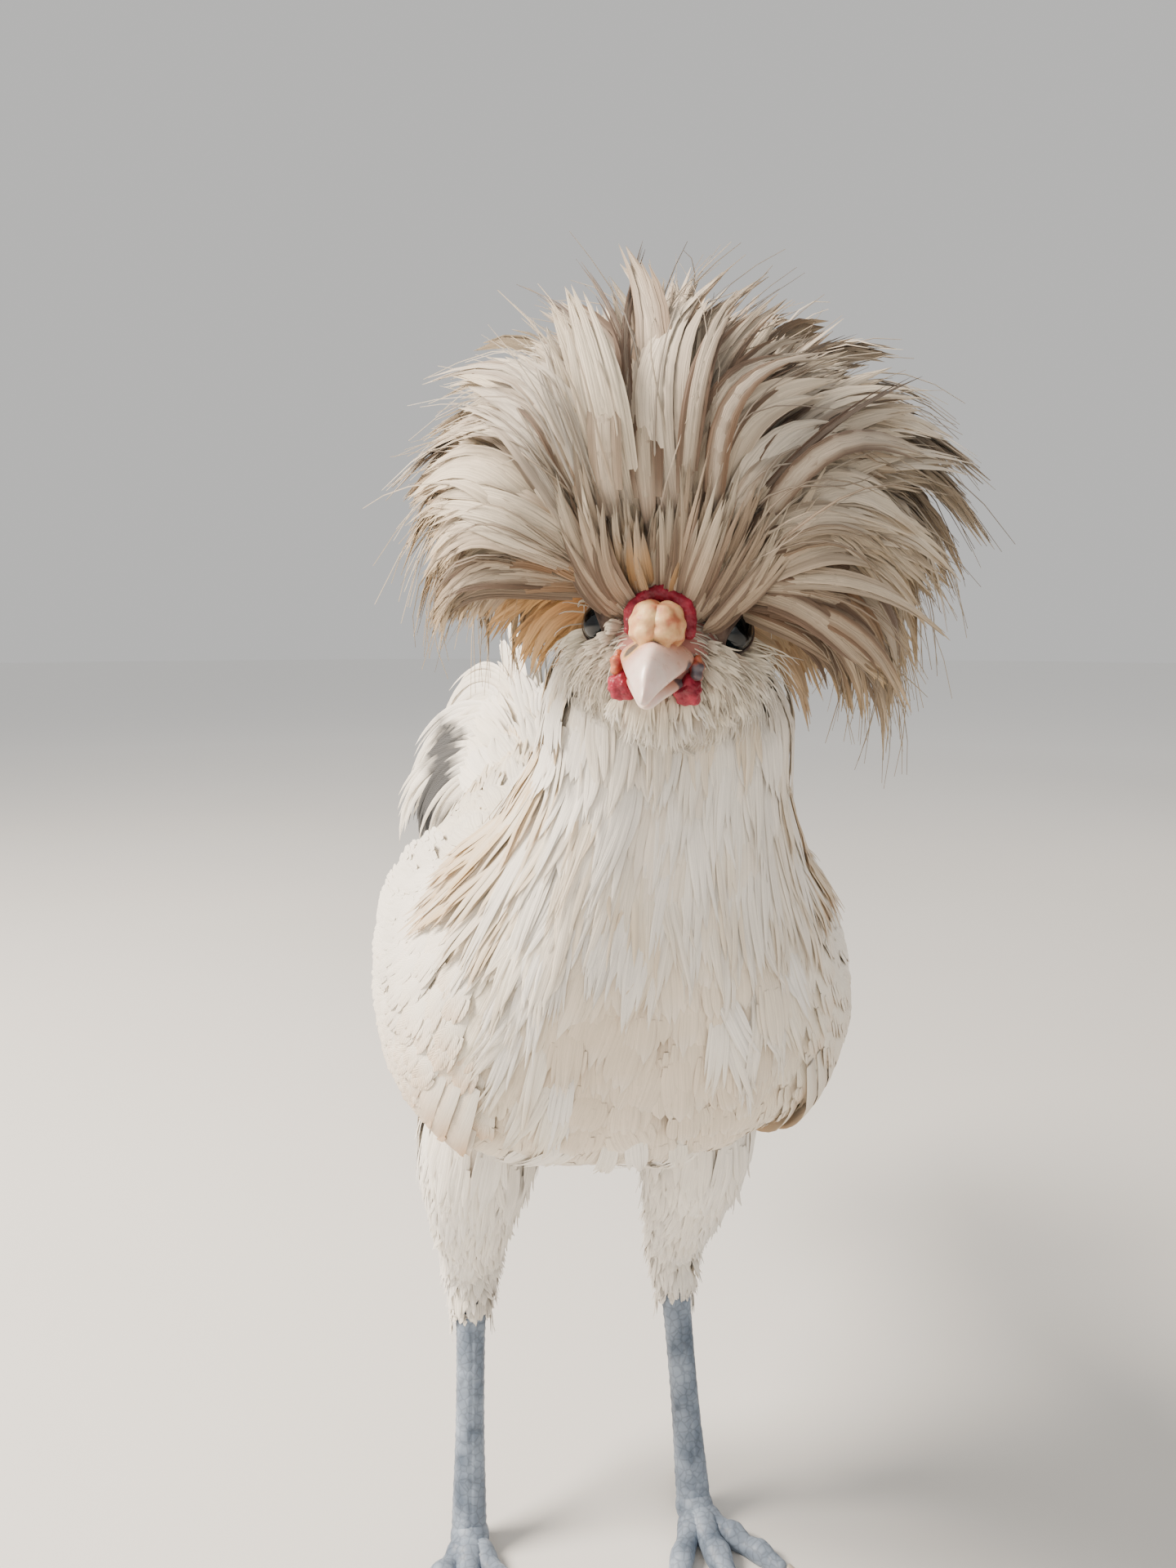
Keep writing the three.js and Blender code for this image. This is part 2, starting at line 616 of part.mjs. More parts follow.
function makeCrest() {
  const { core, rings, thick, lowerLeft, shorterBack } = crest;
  const pieces = [
    ball({ x: core.x0, y: core.y0, z: core.z0 }, core, 14, 9).transform([...crestFrame.elements]),
  ];
  let n = 200;
  rings.forEach((ring, k) => {
    const open = 360 - 2 * ring.window;
    for (let i = 0; i < ring.count; i++) {
      const closed = ring.window === 0; // a full ring has no end feather to set at its edge
      const share = closed ? (i + 0.5 * (k % 2)) / ring.count : i / (ring.count - 1);
      const bearing = ring.window + open * share + 4 * vary(n);
      const leftward = Math.max(0, Math.sin(bearing * degrees));
      const backward = Math.max(0, -Math.cos(bearing * degrees));
      const droop = ring.tip > 80 ? lowerLeft * leftward - shorterBack * backward : 0;
      const tip = ring.tip * (1 + 0.04 * vary(n + 2000)) + droop;
      const spine = crestSpine(bearing, tip, 1 + 0.06 * vary(n + 1000), ring.rows);
      pieces.push(blade(spine, plume(ring.width), thick, 6 * vary(n + 3000)));
      n += 1;
    }
  });
  for (const row of brow) {
    for (let i = 0; i < row.count; i++) {
      const bearing = mix(-row.spread, row.spread, i / (row.count - 1)) + 3 * vary(n);
      const spine = crestSpine(bearing, row.tip + 6 * vary(n + 700), row.reach * (1 + 0.08 * vary(n)), 3);
      pieces.push(blade(spine, plume(row.width), thick));
      n += 1;
    }
  }
  const bare = union(pieces);
  const column = coatPiece(cuts.head, last - 0.1, 14, 3, gap);
  const brim = eye.radius + 2 * eye.lid + 2 * gap;
  const lids = [1, -1].map((side) => ball(eyeSpot(side), { x: brim, y: brim, z: brim }, 8, 6));
  const clear = [...lids, combSolid(gap), nasalBulbSolid(gap)].map(inHead);
  return [column, faceSolid(gap), ...clear].reduce((a, b) => a.subtract(b), bare);
}

// A wing's pad: a rounded cushion on the side of the coat, inside its vanes.
function wingPad(side) {
  const { pad } = wing;
  const geometry = new THREE.SphereGeometry(1, 12, 6);
  geometry.rotateX(Math.PI / 2); // its poles along the pad's thickness
  const position = geometry.attributes.position;
  for (let i = 0; i < position.count; i++) {
    const [x, y, z] = [-side * position.getX(i), position.getY(i), position.getZ(i)];
    const angle = pad.angle + pad.high * y * (0.82 + 0.18 * x);
    const lift = under + pad.thick * Math.max(0, z);
    const spot = liftedSpot(pad.middle + pad.long * x, side > 0 ? angle : 180 - angle, lift);
    position.setXYZ(i, spot.x, spot.y, spot.z);
  }
  return solidOf(geometry);
}

function makeWing(side) {
  const { tiers, roll, thick } = wing;
  const atSide = (angle) => (side > 0 ? angle : 180 - angle);
  const pieces = [wingPad(side)];
  let n = 600;
  for (const tier of tiers) {
    for (let i = 0; i < tier.count; i++) {
      const from = [tier.root[0], atSide(tier.root[1] + i * tier.rootStep)];
      const tip = tier.tip[0] + i * tier.tipStep[0] + 0.05 * vary(n);
      const to = [tip, atSide(tier.tip[1] + i * tier.tipStep[1])];
      const spine = coatSpine(from, to, [under + 0.7, tier.lift, tier.lift], 3);
      pieces.push(blade(spine, vane(tier.width), thick, -side * roll));
      n += 1;
    }
  }
  return union(pieces).subtract(thighSolid(side, gap)).subtract(torsoSolid(gap));
}

// The spine of a tail feather: it rises backwards and bends over and outwards as it goes. The
// share tells where it stands in its fan, from the lowest to the highest.
function tailSpine(side, fan, share, length, rows) {
  const { root } = tail;
  const rise = mix(fan.low, fan.high, share);
  const splay = mix(fan.splayLow, fan.splayHigh, share);
  const point = new THREE.Vector3(side * root.side, root.y, root.z);
  const spine = [];
  for (let i = 0; i <= rows; i++) {
    const t = i / rows;
    const pitch = (rise - fan.curl * t ** 1.4) * degrees;
    const out = (splay * (0.6 + 0.5 * t) + (fan.flare ?? 0) * t) * degrees;
    const back = new THREE.Vector3(side * Math.sin(out), Math.cos(out), 0);
    const along = back.clone().multiplyScalar(Math.cos(pitch)).addScaledVector(up, Math.sin(pitch));
    const outward = new THREE.Vector3(side * Math.cos(out), -Math.sin(out), 0);
    spine.push({ point: point.clone(), normal: outward });
    point.addScaledVector(along, length / rows);
  }
  return spine;
}

function makeTail() {
  const { main, tiers, thick } = tail;
  const pieces = [coatPiece(0, cuts.tail, 12, 2)];
  let n = 800;
  for (const side of [1, -1]) {
    for (let i = 0; i < main.count; i++) {
      const spine = tailSpine(side, main, i / (main.count - 1), main.length, 3);
      pieces.push(blade(spine, vane(main.width), thick, side * 6));
    }
    for (const tier of tiers) {
      for (let i = 0; i < tier.count; i++) {
        const share = tier.count > 1 ? i / (tier.count - 1) : 0;
        const length = tier.length * (1 + 0.07 * vary(n));
        const spine = tailSpine(side, tier, share, length, tier.length > 100 ? 6 : 4);
        pieces.push(blade(spine, plume(tier.width), thick));
        n += 1;
      }
    }
  }
  return union(pieces).subtract(coatPiece(cuts.tail, cuts.saddle, 20, 5, gap));
}

// A limb through stations that hold their own radius, and how deep they are from front to back
// where that differs.
function limb(stations, around, rows, grow = 0) {
  const line = catmullRom(stations.map((s) => new THREE.Vector3(s.x, s.y, s.z)));
  const size = catmullRom(stations.map((s, i) => new THREE.Vector3(i, s.radius, s.deep ?? s.radius)));
  const along = line.getPoint(1).sub(line.getPoint(0)).normalize();
  const across = new THREE.Vector3(1, 0, 0).addScaledVector(along, -along.x).normalize();
  const front = along.clone().cross(across);
  return tube(
    (t, angle, share) => {
      const { y: radius, z: deep } = size.getPoint(t);
      const beyond = t === 0 ? -grow : t === 1 ? grow : 0;
      return line.getPoint(t)
        .addScaledVector(along, beyond)
        .addScaledVector(across, Math.cos(angle) * (radius + grow) * share)
        .addScaledVector(front, -Math.sin(angle) * (deep + grow) * share);
    },
    around,
    rows,
  );
}

function thighSolid(side, grow = 0) {
  return limb(thigh.map((s) => ({ ...s, x: s.x * side })), 11, 5, grow);
}

function shankStations(side) {
  const share = (t) => ({
    x: side * mix(hock.x, ankle.x, t),
    y: mix(hock.y, ankle.y, t),
    z: mix(hock.z, ankle.z, t),
  });
  return [
    { ...share(0), radius: shank.hock },
    { ...share(0.2), radius: shank.neck },
    { ...share(0.6), radius: shank.middle },
    { ...share(1), radius: shank.ankle },
  ];
}

// The shank, with its front scutes stepped into its own surface from hock to ankle.
function shankSolid(side, grow = 0) {
  const stations = shankStations(side);
  const line = catmullRom(stations.map((s) => new THREE.Vector3(s.x, s.y, s.z)));
  const size = catmullRom(stations.map((s, i) => new THREE.Vector3(i, s.radius, 0)));
  const rows = 2 * shank.scutes;
  return tube(
    (t, angle, share) => {
      const step = Math.round(t * rows) % 2 === 0 ? 0 : shank.rise;
      const front = Math.max(0, -Math.sin(angle)); // 1 at the front of the leg
      const radius = (size.getPoint(t).y + step * Math.sqrt(front) + grow) * share;
      const beyond = t === 0 ? grow : t === 1 ? -grow : 0;
      return line.getPoint(t)
        .add(new THREE.Vector3(Math.cos(angle) * radius, Math.sin(angle) * radius, beyond));
    },
    8,
    rows,
  );
}

function toeFrame(side, toe) {
  const turn = side * (toe.turn + footTurn) * degrees;
  return new THREE.Vector3(Math.sin(turn), -Math.cos(turn), 0);
}

function toeStations(side, toe) {
  const way = toeFrame(side, toe);
  const stations = [];
  const count = 2 * toe.joints + 1;
  for (let i = 0; i <= count; i++) {
    const t = i / count;
    const swell = i % 2 === 1 ? 0.5 : -0.25; // pads between the joints
    const radius = i === count ? toe.tip - 0.6 : mix(toe.root, toe.tip, t) + swell;
    stations.push({
      x: side * ankle.x + way.x * toe.length * t,
      y: ankle.y - 3 + way.y * toe.length * t,
      z: radius - sole,
      radius,
    });
  }
  return stations;
}

function footCore(side, grow = 0) {
  const middle = { x: side * ankle.x, y: ankle.y - 2, z: 5 };
  return ball(middle, { x: 6.6 + grow, y: 7.2 + grow, z: 6.6 + grow }, 10, 6);
}

function makeFoot(side) {
  const pieces = [footCore(side), ...toes.map((toe) => limb(toeStations(side, toe), 6, 2 * toe.joints + 1))];
  return aboveFloor(union(pieces));
}

// A curved claw, from the end of a toe to its point just off the floor.
function clawSolid(side, toe) {
  const way = toeFrame(side, toe);
  const end = toeStations(side, toe).at(-1);
  const stations = [0, 0.35, 0.7, 1].map((t) => ({
    x: end.x + way.x * (claw.seat + claw.length * t),
    y: end.y + way.y * (claw.seat + claw.length * t),
    z: end.z + 0.9 - 2.4 * t * t + claw.drop,
    radius: mix(claw.radius, 0.35, t),
  }));
  return aboveFloor(limb(stations, 6, 3));
}

addNode("torso", "coat", torsoSolid());
addNode("saddle", "hackle", makeSaddle());
addNode("neck", "hackle", makeNeck());
addNode("head", "coat", makeHead());
addNode("crest", "crest", makeCrest());
addNode("comb", "comb", inHead(combSolid()).subtract(faceSolid(gap)).subtract(inHead(nasalBulbSolid(gap))));
addNode("nasal_bulb", "bulb", inHead(
  nasalBulbSolid().subtract(billPiece(upperBill, gap)).subtract(nostrilHole(1)).subtract(nostrilHole(-1)),
));
addNode("bill_upper", "horn", inHead(
  billPiece(upperBill).subtract(billPiece(lowerBill, gap)),
));
addNode("bill_lower", "horn", inHead(billPiece(lowerBill)));
addNode("tail", "coat", makeTail());
for (const [name, side] of Object.entries(sides)) {
  addNode(`eye_${name}`, "eye", makeEye(side));
  addNode(`wattle_${name}`, "comb", inHead(wattleSolid(side).subtract(billPiece(lowerBill, gap))));
  addNode(`wing_${name}`, "coat", makeWing(side));
  addNode(`thigh_${name}`, "coat", thighSolid(side).subtract(torsoSolid(gap)).subtract(shankSolid(side, gap)));
  addNode(`shank_${name}`, "slate", shankSolid(side).subtract(footCore(side, gap)));
  addNode(`foot_${name}`, "slate", makeFoot(side));
  for (const toe of toes) addNode(`claw_${toe.name}_${name}`, "claw", clawSolid(side, toe));
}

// The origin goes under the middle of the outline, on the floor.
const outline = new THREE.Box3().setFromObject(model);
const middle = outline.getCenter(new THREE.Vector3());
model.position.set(-middle.x, -middle.y, -outline.min.z);

export default model;
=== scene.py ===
import json
import math

import bmesh
import bpy
import numpy as np
from mathutils import Matrix, Vector


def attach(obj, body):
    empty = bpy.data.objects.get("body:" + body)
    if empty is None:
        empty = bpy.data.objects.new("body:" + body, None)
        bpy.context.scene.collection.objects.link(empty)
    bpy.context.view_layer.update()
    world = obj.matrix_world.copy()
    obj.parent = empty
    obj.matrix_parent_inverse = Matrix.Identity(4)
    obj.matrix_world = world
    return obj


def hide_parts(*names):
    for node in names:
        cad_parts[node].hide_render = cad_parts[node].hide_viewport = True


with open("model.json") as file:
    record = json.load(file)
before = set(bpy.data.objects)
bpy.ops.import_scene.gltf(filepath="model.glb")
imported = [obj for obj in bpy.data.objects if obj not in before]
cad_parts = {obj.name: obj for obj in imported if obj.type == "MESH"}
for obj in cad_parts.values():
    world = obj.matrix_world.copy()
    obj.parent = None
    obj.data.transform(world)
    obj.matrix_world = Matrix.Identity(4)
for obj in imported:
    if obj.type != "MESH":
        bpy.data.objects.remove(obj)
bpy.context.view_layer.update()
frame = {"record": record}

# The bird is worked out in millimetres: +Z up, -Y the way it faces, +X its left side. The two
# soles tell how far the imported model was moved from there.
shift = np.mean([m["pos_m"] for m in frame["record"]["mounts"]], axis=0) * 1000
seed = 23
sides = (("left", 1), ("right", -1))


def linear(hexText):
    channels = [int(hexText[i:i + 2], 16) / 255 for i in (1, 3, 5)]
    return np.array([c / 12.92 if c <= 0.04045 else ((c + 0.055) / 1.055) ** 2.4 for c in channels])


def rgba(hexText):
    return (*linear(hexText), 1)


def mix(a, b, share):
    return a + (b - a) * share


def smooth(low, high, value):
    t = np.clip((value - low) / (high - low), 0, 1)
    return t * t * (3 - 2 * t)


def unit(v):
    return v / np.maximum(np.linalg.norm(v, axis=-1, keepdims=True), 1e-9)


def xyz(x, y, z):
    return np.stack(np.broadcast_arrays(x, y, z), -1)


# A smooth line through the table's rows; spot 0 is the first row and 1 the second.
def alongTable(table, spot):
    rows = np.asarray(table, float)
    ends = np.vstack([2 * rows[0] - rows[1], rows, 2 * rows[-1] - rows[-2]])
    spot = np.clip(np.asarray(spot, float), 0, len(rows) - 1)
    low = np.minimum(spot.astype(int), len(rows) - 2)
    w = (spot - low)[..., None]
    p0, p1, p2, p3 = (ends[low + k] for k in range(4))
    m1, m2 = 0.5 * (p2 - p0), 0.5 * (p3 - p1)
    return (2 * p1 - 2 * p2 + m1 + m2) * w**3 + (3 * p2 - 3 * p1 - 2 * m1 - m2) * w**2 + m1 * w + p1


def turned(nod, tip, turn):
    made = Matrix.Identity(3)
    for angle, axis in ((turn, "Z"), (nod, "X"), (tip, "Y")):
        made = made @ Matrix.Rotation(math.radians(angle), 3, axis)
    return np.array(made)


def arc(a, b, c, t):  # from a towards b to c
    return (1 - t) ** 2 * a + 2 * t * (1 - t) * b + t * t * c


# A grid bent into a closed skin: place(share, angle) gives the spots in millimetres.
def wrapGrid(around, rows, place):
    shape = bmesh.new()
    bmesh.ops.create_grid(shape, x_segments=around, y_segments=rows, size=0.5)
    flat = np.array([v.co[:2] for v in shape.verts]) + 0.5
    for v, spot in zip(shape.verts, place(flat[:, 1], flat[:, 0] * 2 * math.pi)):
        v.co = spot
    bmesh.ops.remove_doubles(shape, verts=shape.verts, dist=1e-4)
    bmesh.ops.recalc_face_normals(shape, faces=shape.faces)
    return shape


# Both ends of a skin drawn to its middle line, which closes it.
def closedEnds(share, spots, middle):
    return np.where(((share < 0.001) | (share > 0.999))[:, None], middle, spots)


# A ball bent into a lump: place(spots) takes the spots of a ball of radius 1.
def lump(around, rows, place):
    shape = bmesh.new()
    bmesh.ops.create_uvsphere(shape, u_segments=around, v_segments=rows, radius=1)
    for v, spot in zip(shape.verts, place(np.array([v.co for v in shape.verts]))):
        v.co = spot
    return shape


def joined(shapes):
    whole = bmesh.new()
    for shape in shapes:
        part = bpy.data.meshes.new("part")
        shape.to_mesh(part)
        shape.free()
        whole.from_mesh(part)
        bpy.data.meshes.remove(part)
    return whole


def dress(name, mesh, material, slot, nodes=()):
    piece = bpy.data.objects.new(name, mesh)
    bpy.context.scene.collection.objects.link(piece)
    mesh.materials.append(material)
    mesh.shade_smooth()
    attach(piece, "root")
    if nodes:
        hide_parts(*nodes)
    return piece


# A piece from a shape in millimetres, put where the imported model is.
def addShape(name, shape, material, slot, *nodes):
    mesh = bpy.data.meshes.new(name)
    bmesh.ops.translate(shape, verts=shape.verts, vec=Vector(shift))
    bmesh.ops.scale(shape, verts=shape.verts, vec=(0.001, 0.001, 0.001))
    shape.to_mesh(mesh)
    shape.free()
    return dress(name, mesh, material, slot, nodes)


# A place in the bird's millimetres as the scene's metres.
def atPlace(spot):
    return tuple((np.asarray(spot) + shift) / 1000)


# A node with its settings and what feeds it; stops are a colour ramp's places and colours.
def addNode(tree, kind, settings=None, links=None):
    node = tree.nodes.new("ShaderNode" + kind)
    for key, value in (settings or {}).items():
        if key == "stops":
            elements = node.color_ramp.elements
            while len(elements) < len(value):
                elements.new(0.5)
            for element, (spot, tint) in zip(elements, value):
                element.position, element.color = spot, rgba(tint)
        elif isinstance(key, str) and hasattr(node, key):
            setattr(node, key, value)
        else:
            node.inputs[key].default_value = value
    for key, source in (links or {}).items():
        tree.links.new(source, node.inputs[key])
    return node


def newMaterial(name, settings):
    material = bpy.data.materials.new(name)
    material.use_nodes = True
    tree = material.node_tree
    shader = tree.nodes["Principled BSDF"]
    for key, value in settings.items():
        shader.inputs[key].default_value = value
    return material, tree, shader, addNode(tree, "TexCoord").outputs["Object"]


# A finish that drifts between two tones, and the noise that it drifts with.
def mottled(name, settings, scale, detail, stops):
    material, tree, shader, place = newMaterial(name, settings)
    noise = addNode(tree, "TexNoise", {"Scale": scale, "Detail": detail}, {"Vector": place}).outputs[0]
    tone = addNode(tree, "ValToRGB", {"stops": stops}, {0: noise}).outputs[0]
    return material, tree, shader, place, noise, tone


def finishWith(tree, shader, colour, height=None, strength=0.5, depth=0.0005, **more):
    tree.links.new(colour, shader.inputs["Base Color"])
    if height:
        relief = addNode(tree, "Bump", {"Strength": strength, "Distance": depth, **more}, {"Height": height})
        tree.links.new(relief.outputs[0], shader.inputs["Normal"])


# Another colour near one spot of the head; it fades out between two reaches, in metres.
def tintNear(tree, place, colour, spot, reach, share, tint, grain=None):
    middle = atPlace(inHead(spot))
    far = addNode(tree, "VectorMath", {"operation": "DISTANCE", 1: middle}, {0: place}).outputs[1]
    if grain:  # for a ragged edge
        far = addNode(tree, "Math", {"operation": "MULTIPLY_ADD", 1: -0.0012}, {0: grain, 2: far}).outputs[0]
    near = addNode(tree, "MapRange", {1: reach[0], 2: reach[1], 3: share, 4: 0}, {0: far}).outputs[0]
    return addNode(tree, "Mix", {"data_type": "RGBA", 7: rgba(tint)}, {0: near, 6: colour}).outputs[2]


camera = {"spot": (-58.6, -340.0, 294.6), "azimuth": -10.0, "pitch": 7.9, "focal": 1437}  # focal in pixels
photo = {"tall": 1920, "sensor": 36}
studio = {"floor": "#dedcd8", "shade": "#d2d0cc", "far": "#f8f7f5", "fade": (0.7, 2.6), "reach": 9.0,
          "sky": "#f1f0ee", "skyStrength": 0.72, "aim": (0, -0.03, 0.24)}
lamps = [
    {"name": "key", "at": (-1.0, 0.0, 1.15), "size": 0.6, "watts": 66, "hue": "#fff2e2"},
    {"name": "front", "at": (-0.5, -1.5, 0.9), "size": 1.4, "watts": 5.5, "hue": "#fffaf3"},
    {"name": "side", "at": (1.3, 0.5, 0.9), "size": 1.0, "watts": 5, "hue": "#f6e8d8"},
]


def addCamera():
    lens = bpy.data.cameras.new("camera")
    lens.sensor_width = photo["sensor"]
    lens.lens = photo["sensor"] * camera["focal"] / photo["tall"]
    lens.clip_start, lens.clip_end = 0.01, 50
    viewer = bpy.data.objects.new("camera", lens)
    viewer.location = atPlace(camera["spot"])
    viewer.rotation_euler = (math.radians(90 - camera["pitch"]), 0, math.radians(camera["azimuth"]))
    bpy.context.scene.collection.objects.link(viewer)
    bpy.context.scene.camera = viewer


def addStudio():
    shape = bmesh.new()
    bmesh.ops.create_circle(shape, cap_ends=True, segments=96, radius=studio["reach"])
    mesh = bpy.data.meshes.new("floor")
    shape.to_mesh(mesh)
    shape.free()
    floor = bpy.data.objects.new("floor", mesh)
    bpy.context.scene.collection.objects.link(floor)
    # Matt paint, a little uneven, that pales with distance so that the floor has no edge.
    material, tree, shader, place, _, tone = mottled("matt painted floor", {"Roughness": 0.85}, 2.5, 3,
                                                     [(0, studio["floor"]), (1, studio["shade"])])
    far = addNode(tree, "VectorMath", {"operation": "LENGTH"}, {0: place}).outputs["Value"]
    fade = addNode(tree, "MapRange", {1: studio["fade"][0], 2: studio["fade"][1]}, {0: far}).outputs[0]
    pale = addNode(tree, "Mix", {"data_type": "RGBA", 7: rgba(studio["far"])}, {0: fade, 6: tone}).outputs[2]
    finishWith(tree, shader, pale)
    mesh.materials.append(material)
    for lamp in lamps:
        data = bpy.data.lights.new(lamp["name"], "AREA")
        data.shape, data.size, data.energy = "DISK", lamp["size"], lamp["watts"]
        data.color = linear(lamp["hue"])
        light = bpy.data.objects.new(lamp["name"], data)
        light.location = lamp["at"]
        light.rotation_euler = (Vector(studio["aim"]) - light.location).to_track_quat("-Z", "Y").to_euler()
        bpy.context.scene.collection.objects.link(light)
    world = bpy.data.worlds.new("soft room")
    world.use_nodes = True
    back = world.node_tree.nodes["Background"]
    back.inputs[0].default_value = rgba(studio["sky"])
    back.inputs[1].default_value = studio["skyStrength"]
    bpy.context.scene.world = world


addCamera()
addStudio()
print("camera, floor and light are set")

# The bird's form: the same named values as the solids.
body = {
    "stations": [  # x, y, z, lean, half, up, down from the tail's root to the crown
        (0, 110, 256, -50, 7, 6, 7), (0, 93, 241, -44, 14, 12, 14), (0, 71, 224, -28, 29, 21, 28),
        (0, 38, 208, -12, 45, 35, 43), (0, 4, 201, 0, 54, 46, 49), (0, -30, 201, 10, 56, 49, 50),
        (0, -58, 209, 28, 53, 42, 46), (0, -76, 227, 48, 43, 32, 34), (0.5, -86, 246, 62, 32, 26, 26),
        (1.5, -93, 263, 69, 25.5, 23, 21), (1.5, -98, 277, 72, 25, 23, 18), (0.5, -101, 291, 76, 22, 21, 13),
        (0, -102, 303, 80, 15, 14, 9),
    ],
    "squareness": 2.4,
    "depth": 3.4,  # of the feathers over the skin
}
head = {"place": (-5, -122, 293), "turn": -21, "nod": 10, "tip": 4, "crownNod": -4, "crown": (-1, 9, 7)}
face = [  # y, z, half, up, down
    (-16, -5, 4.4, 4, 3.6), (-12, -4, 7, 6.4, 6.4), (-6, -2.5, 10, 9, 9.6), (1, -1, 12.4, 10.6, 12.4),
    (12, 0, 14.6, 11.6, 14), (24, 0, 11, 10, 11),
]
eye = {"side": 12, "y": -0.5, "z": 0.5, "radius": 4.2, "forward": 40}
thigh = [  # x, y, z, radius, deep
    (29, -14, 172, 18, 27), (32, -10, 150, 18, 25), (34, 0, 127, 15, 19), (34.3, 11, 105, 11, 12.6),
    (34, 19.5, 88, 8.4, 9.2), (34.4, 18.6, 71, 7.4, 7.8),
]
wingForm = {"middle": 5.15, "long": 2.05, "angle": -6, "high": 46, "thick": 5.0, "under": 2.0}
headTurn = turned(head["nod"], head["tip"], head["turn"])
crownTurn = turned(head["crownNod"], head["tip"], head["turn"])


def inHead(spots):
    return np.asarray(spots) @ headTurn.T + head["place"]


crown = inHead(head["crown"])


# The coat's surface at a station and an angle round it, 0 the left side and 90 the back.
def coatSpot(station, angle, lift=0.0):
    station, angle = np.broadcast_arrays(np.asarray(station, float), np.asarray(angle, float))

    def bare(s, a):
        line = alongTable(body["stations"], s)
        lean, turn = np.radians(line[..., 3]), np.radians(a)
        power = 2 / body["squareness"]
        across = np.sign(np.cos(turn)) * np.abs(np.cos(turn)) ** power * line[..., 4]
        rise = np.sign(np.sin(turn)) * np.abs(np.sin(turn)) ** power
        tall = rise * np.where(rise > 0, line[..., 5], line[..., 6])
        return xyz(line[..., 0] + across, line[..., 1] + tall * np.sin(lean),
                   line[..., 2] + tall * np.cos(lean))

    step = 0.02
    normal = unit(np.cross(bare(station, angle + 1) - bare(station, angle - 1),
                           bare(station + step, angle) - bare(station - step, angle)))
    return bare(station, angle) + normal * np.asarray(lift)[..., None], normal


# The face's surface from the bill's root (0) to the back of the head (1), in the head's frame.
def faceSpot(share, angle, grow=0.0):
    line = alongTable(face, np.asarray(share) * (len(face) - 1))
    rise = np.sin(angle)
    tall = rise * (np.where(rise > 0, line[..., 3], line[..., 4]) + grow)
    return xyz(np.cos(angle) * (line[..., 2] + grow), line[..., 0], line[..., 1] + tall)


# A limb's surface: share runs from its top to its end, angle 0 is the outer side.
def limbSpot(table, share, angle, grow=0.0):
    spot = np.asarray(share) * (len(table) - 1)
    line = alongTable(table, spot)
    along = unit(alongTable(table, spot + 0.05)[..., :3] - alongTable(table, spot - 0.05)[..., :3])
    across = unit(np.array([1.0, 0, 0]) - along * along[..., :1])
    front = np.cross(along, across)
    return line[..., :3] + (across * (np.cos(angle) * (line[..., 3] + grow))[..., None]
                            - front * (np.sin(angle) * (line[..., -1] + grow))[..., None])


# A limb's closed skin, with a rise that may differ from place to place.
def limbSkin(table, rise):
    def place(share, angle):
        middle = alongTable(table, share * (len(table) - 1))[:, :3]
        return closedEnds(share, limbSpot(table, share, angle, rise(share, angle)), middle)
    return place


def mirrored(table, side):
    return [(row[0] * side, *row[1:]) for row in table]


def eyeCentre(side):
    return np.array([side * eye["side"], eye["y"], eye["z"]])


def eyeAim(side):
    turn = math.radians(eye["forward"])
    return np.array([side * math.cos(turn), -math.sin(turn), 0])


# The scene's distance to the nearer of the two pupils.
def pupilReach(tree, place):
    pupils = [inHead(eyeCentre(side) + eye["radius"] * eyeAim(side)) for _, side in sides]
    far = [addNode(tree, "VectorMath", {"operation": "DISTANCE", 1: atPlace(spot)}, {0: place}).outputs[1]
           for spot in pupils]
    return addNode(tree, "Math", {"operation": "MINIMUM"}, dict(enumerate(far))).outputs[0]


# Feathers are closed blades of a few faces each, made as arrays and joined into one piece.
rings = {  # across and height of a blade's section
    "strand": [(-1, -0.4), (0, 0.6), (1, -0.4)],
    "vane": [(-1, 0), (-0.5, 0.45), (0, 0.7), (0.5, 0.45), (1, 0), (0, -0.4)],
}
ringUnder = {"strand": 1, "vane": 2}  # how many of a section's faces look down
ringTilt = {"strand": 0.3, "vane": 0.35}
widths = {  # a blade's width along its length
    "plume": lambda t: (0.22 + 0.78 * np.sin(np.pi * (0.08 + 0.6 * t**0.9))) * (1 - t**2.8) ** 0.9,
    "lance": lambda t: (0.34 + 0.66 * np.sin(np.pi * np.clip(0.12 + 0.72 * t, 0, 1))) * (1 - t**2.6) * (
        0.35 + 0.65 * smooth(0, 0.22, t)),
    "rounded": lambda t: (0.45 + 0.55 * np.sin(np.pi * 0.5 * np.clip(1.7 * t, 0, 1))) * (1 - t**4.5) ** 0.55,
    "flight": lambda t: np.clip(0.4 + 1.5 * t, 0, 1) * (1 - t**9) ** 0.5,
    "hair": lambda t: 0.5 + 0.5 * (1 - t) - 0.35 * t**3,
}
bakePatch = 0.003  # the size of each feather's place on the unwrap


# What a kind of feather looks like: its vane, its strips of barbs (first and last place, how far they
# draw to a point, part, rise and widen) and, unless a kind says otherwise, the hackles' values.
def feather(width, **own):
    return {"width": width, "vaneRows": 7, "vaneEnd": 0.92, "vaneWide": 0.85, "thick": 0.3, "cup": 0.14,
            "strips": 5, "stripRows": 8, "first": 0.15, "blunt": 0.2, "ragged": 0.16, "gather": 0.85,
            "flick": 0.9, "loft": 0.7, "stripWide": 1.5, "stripThick": 0.22, **own}


def newCoat():
    lists = ("points", "quads", "caps", "lie", "colour", "uv", "facing", "under")
    return {"count": 0, **{key: [] for key in lists}}


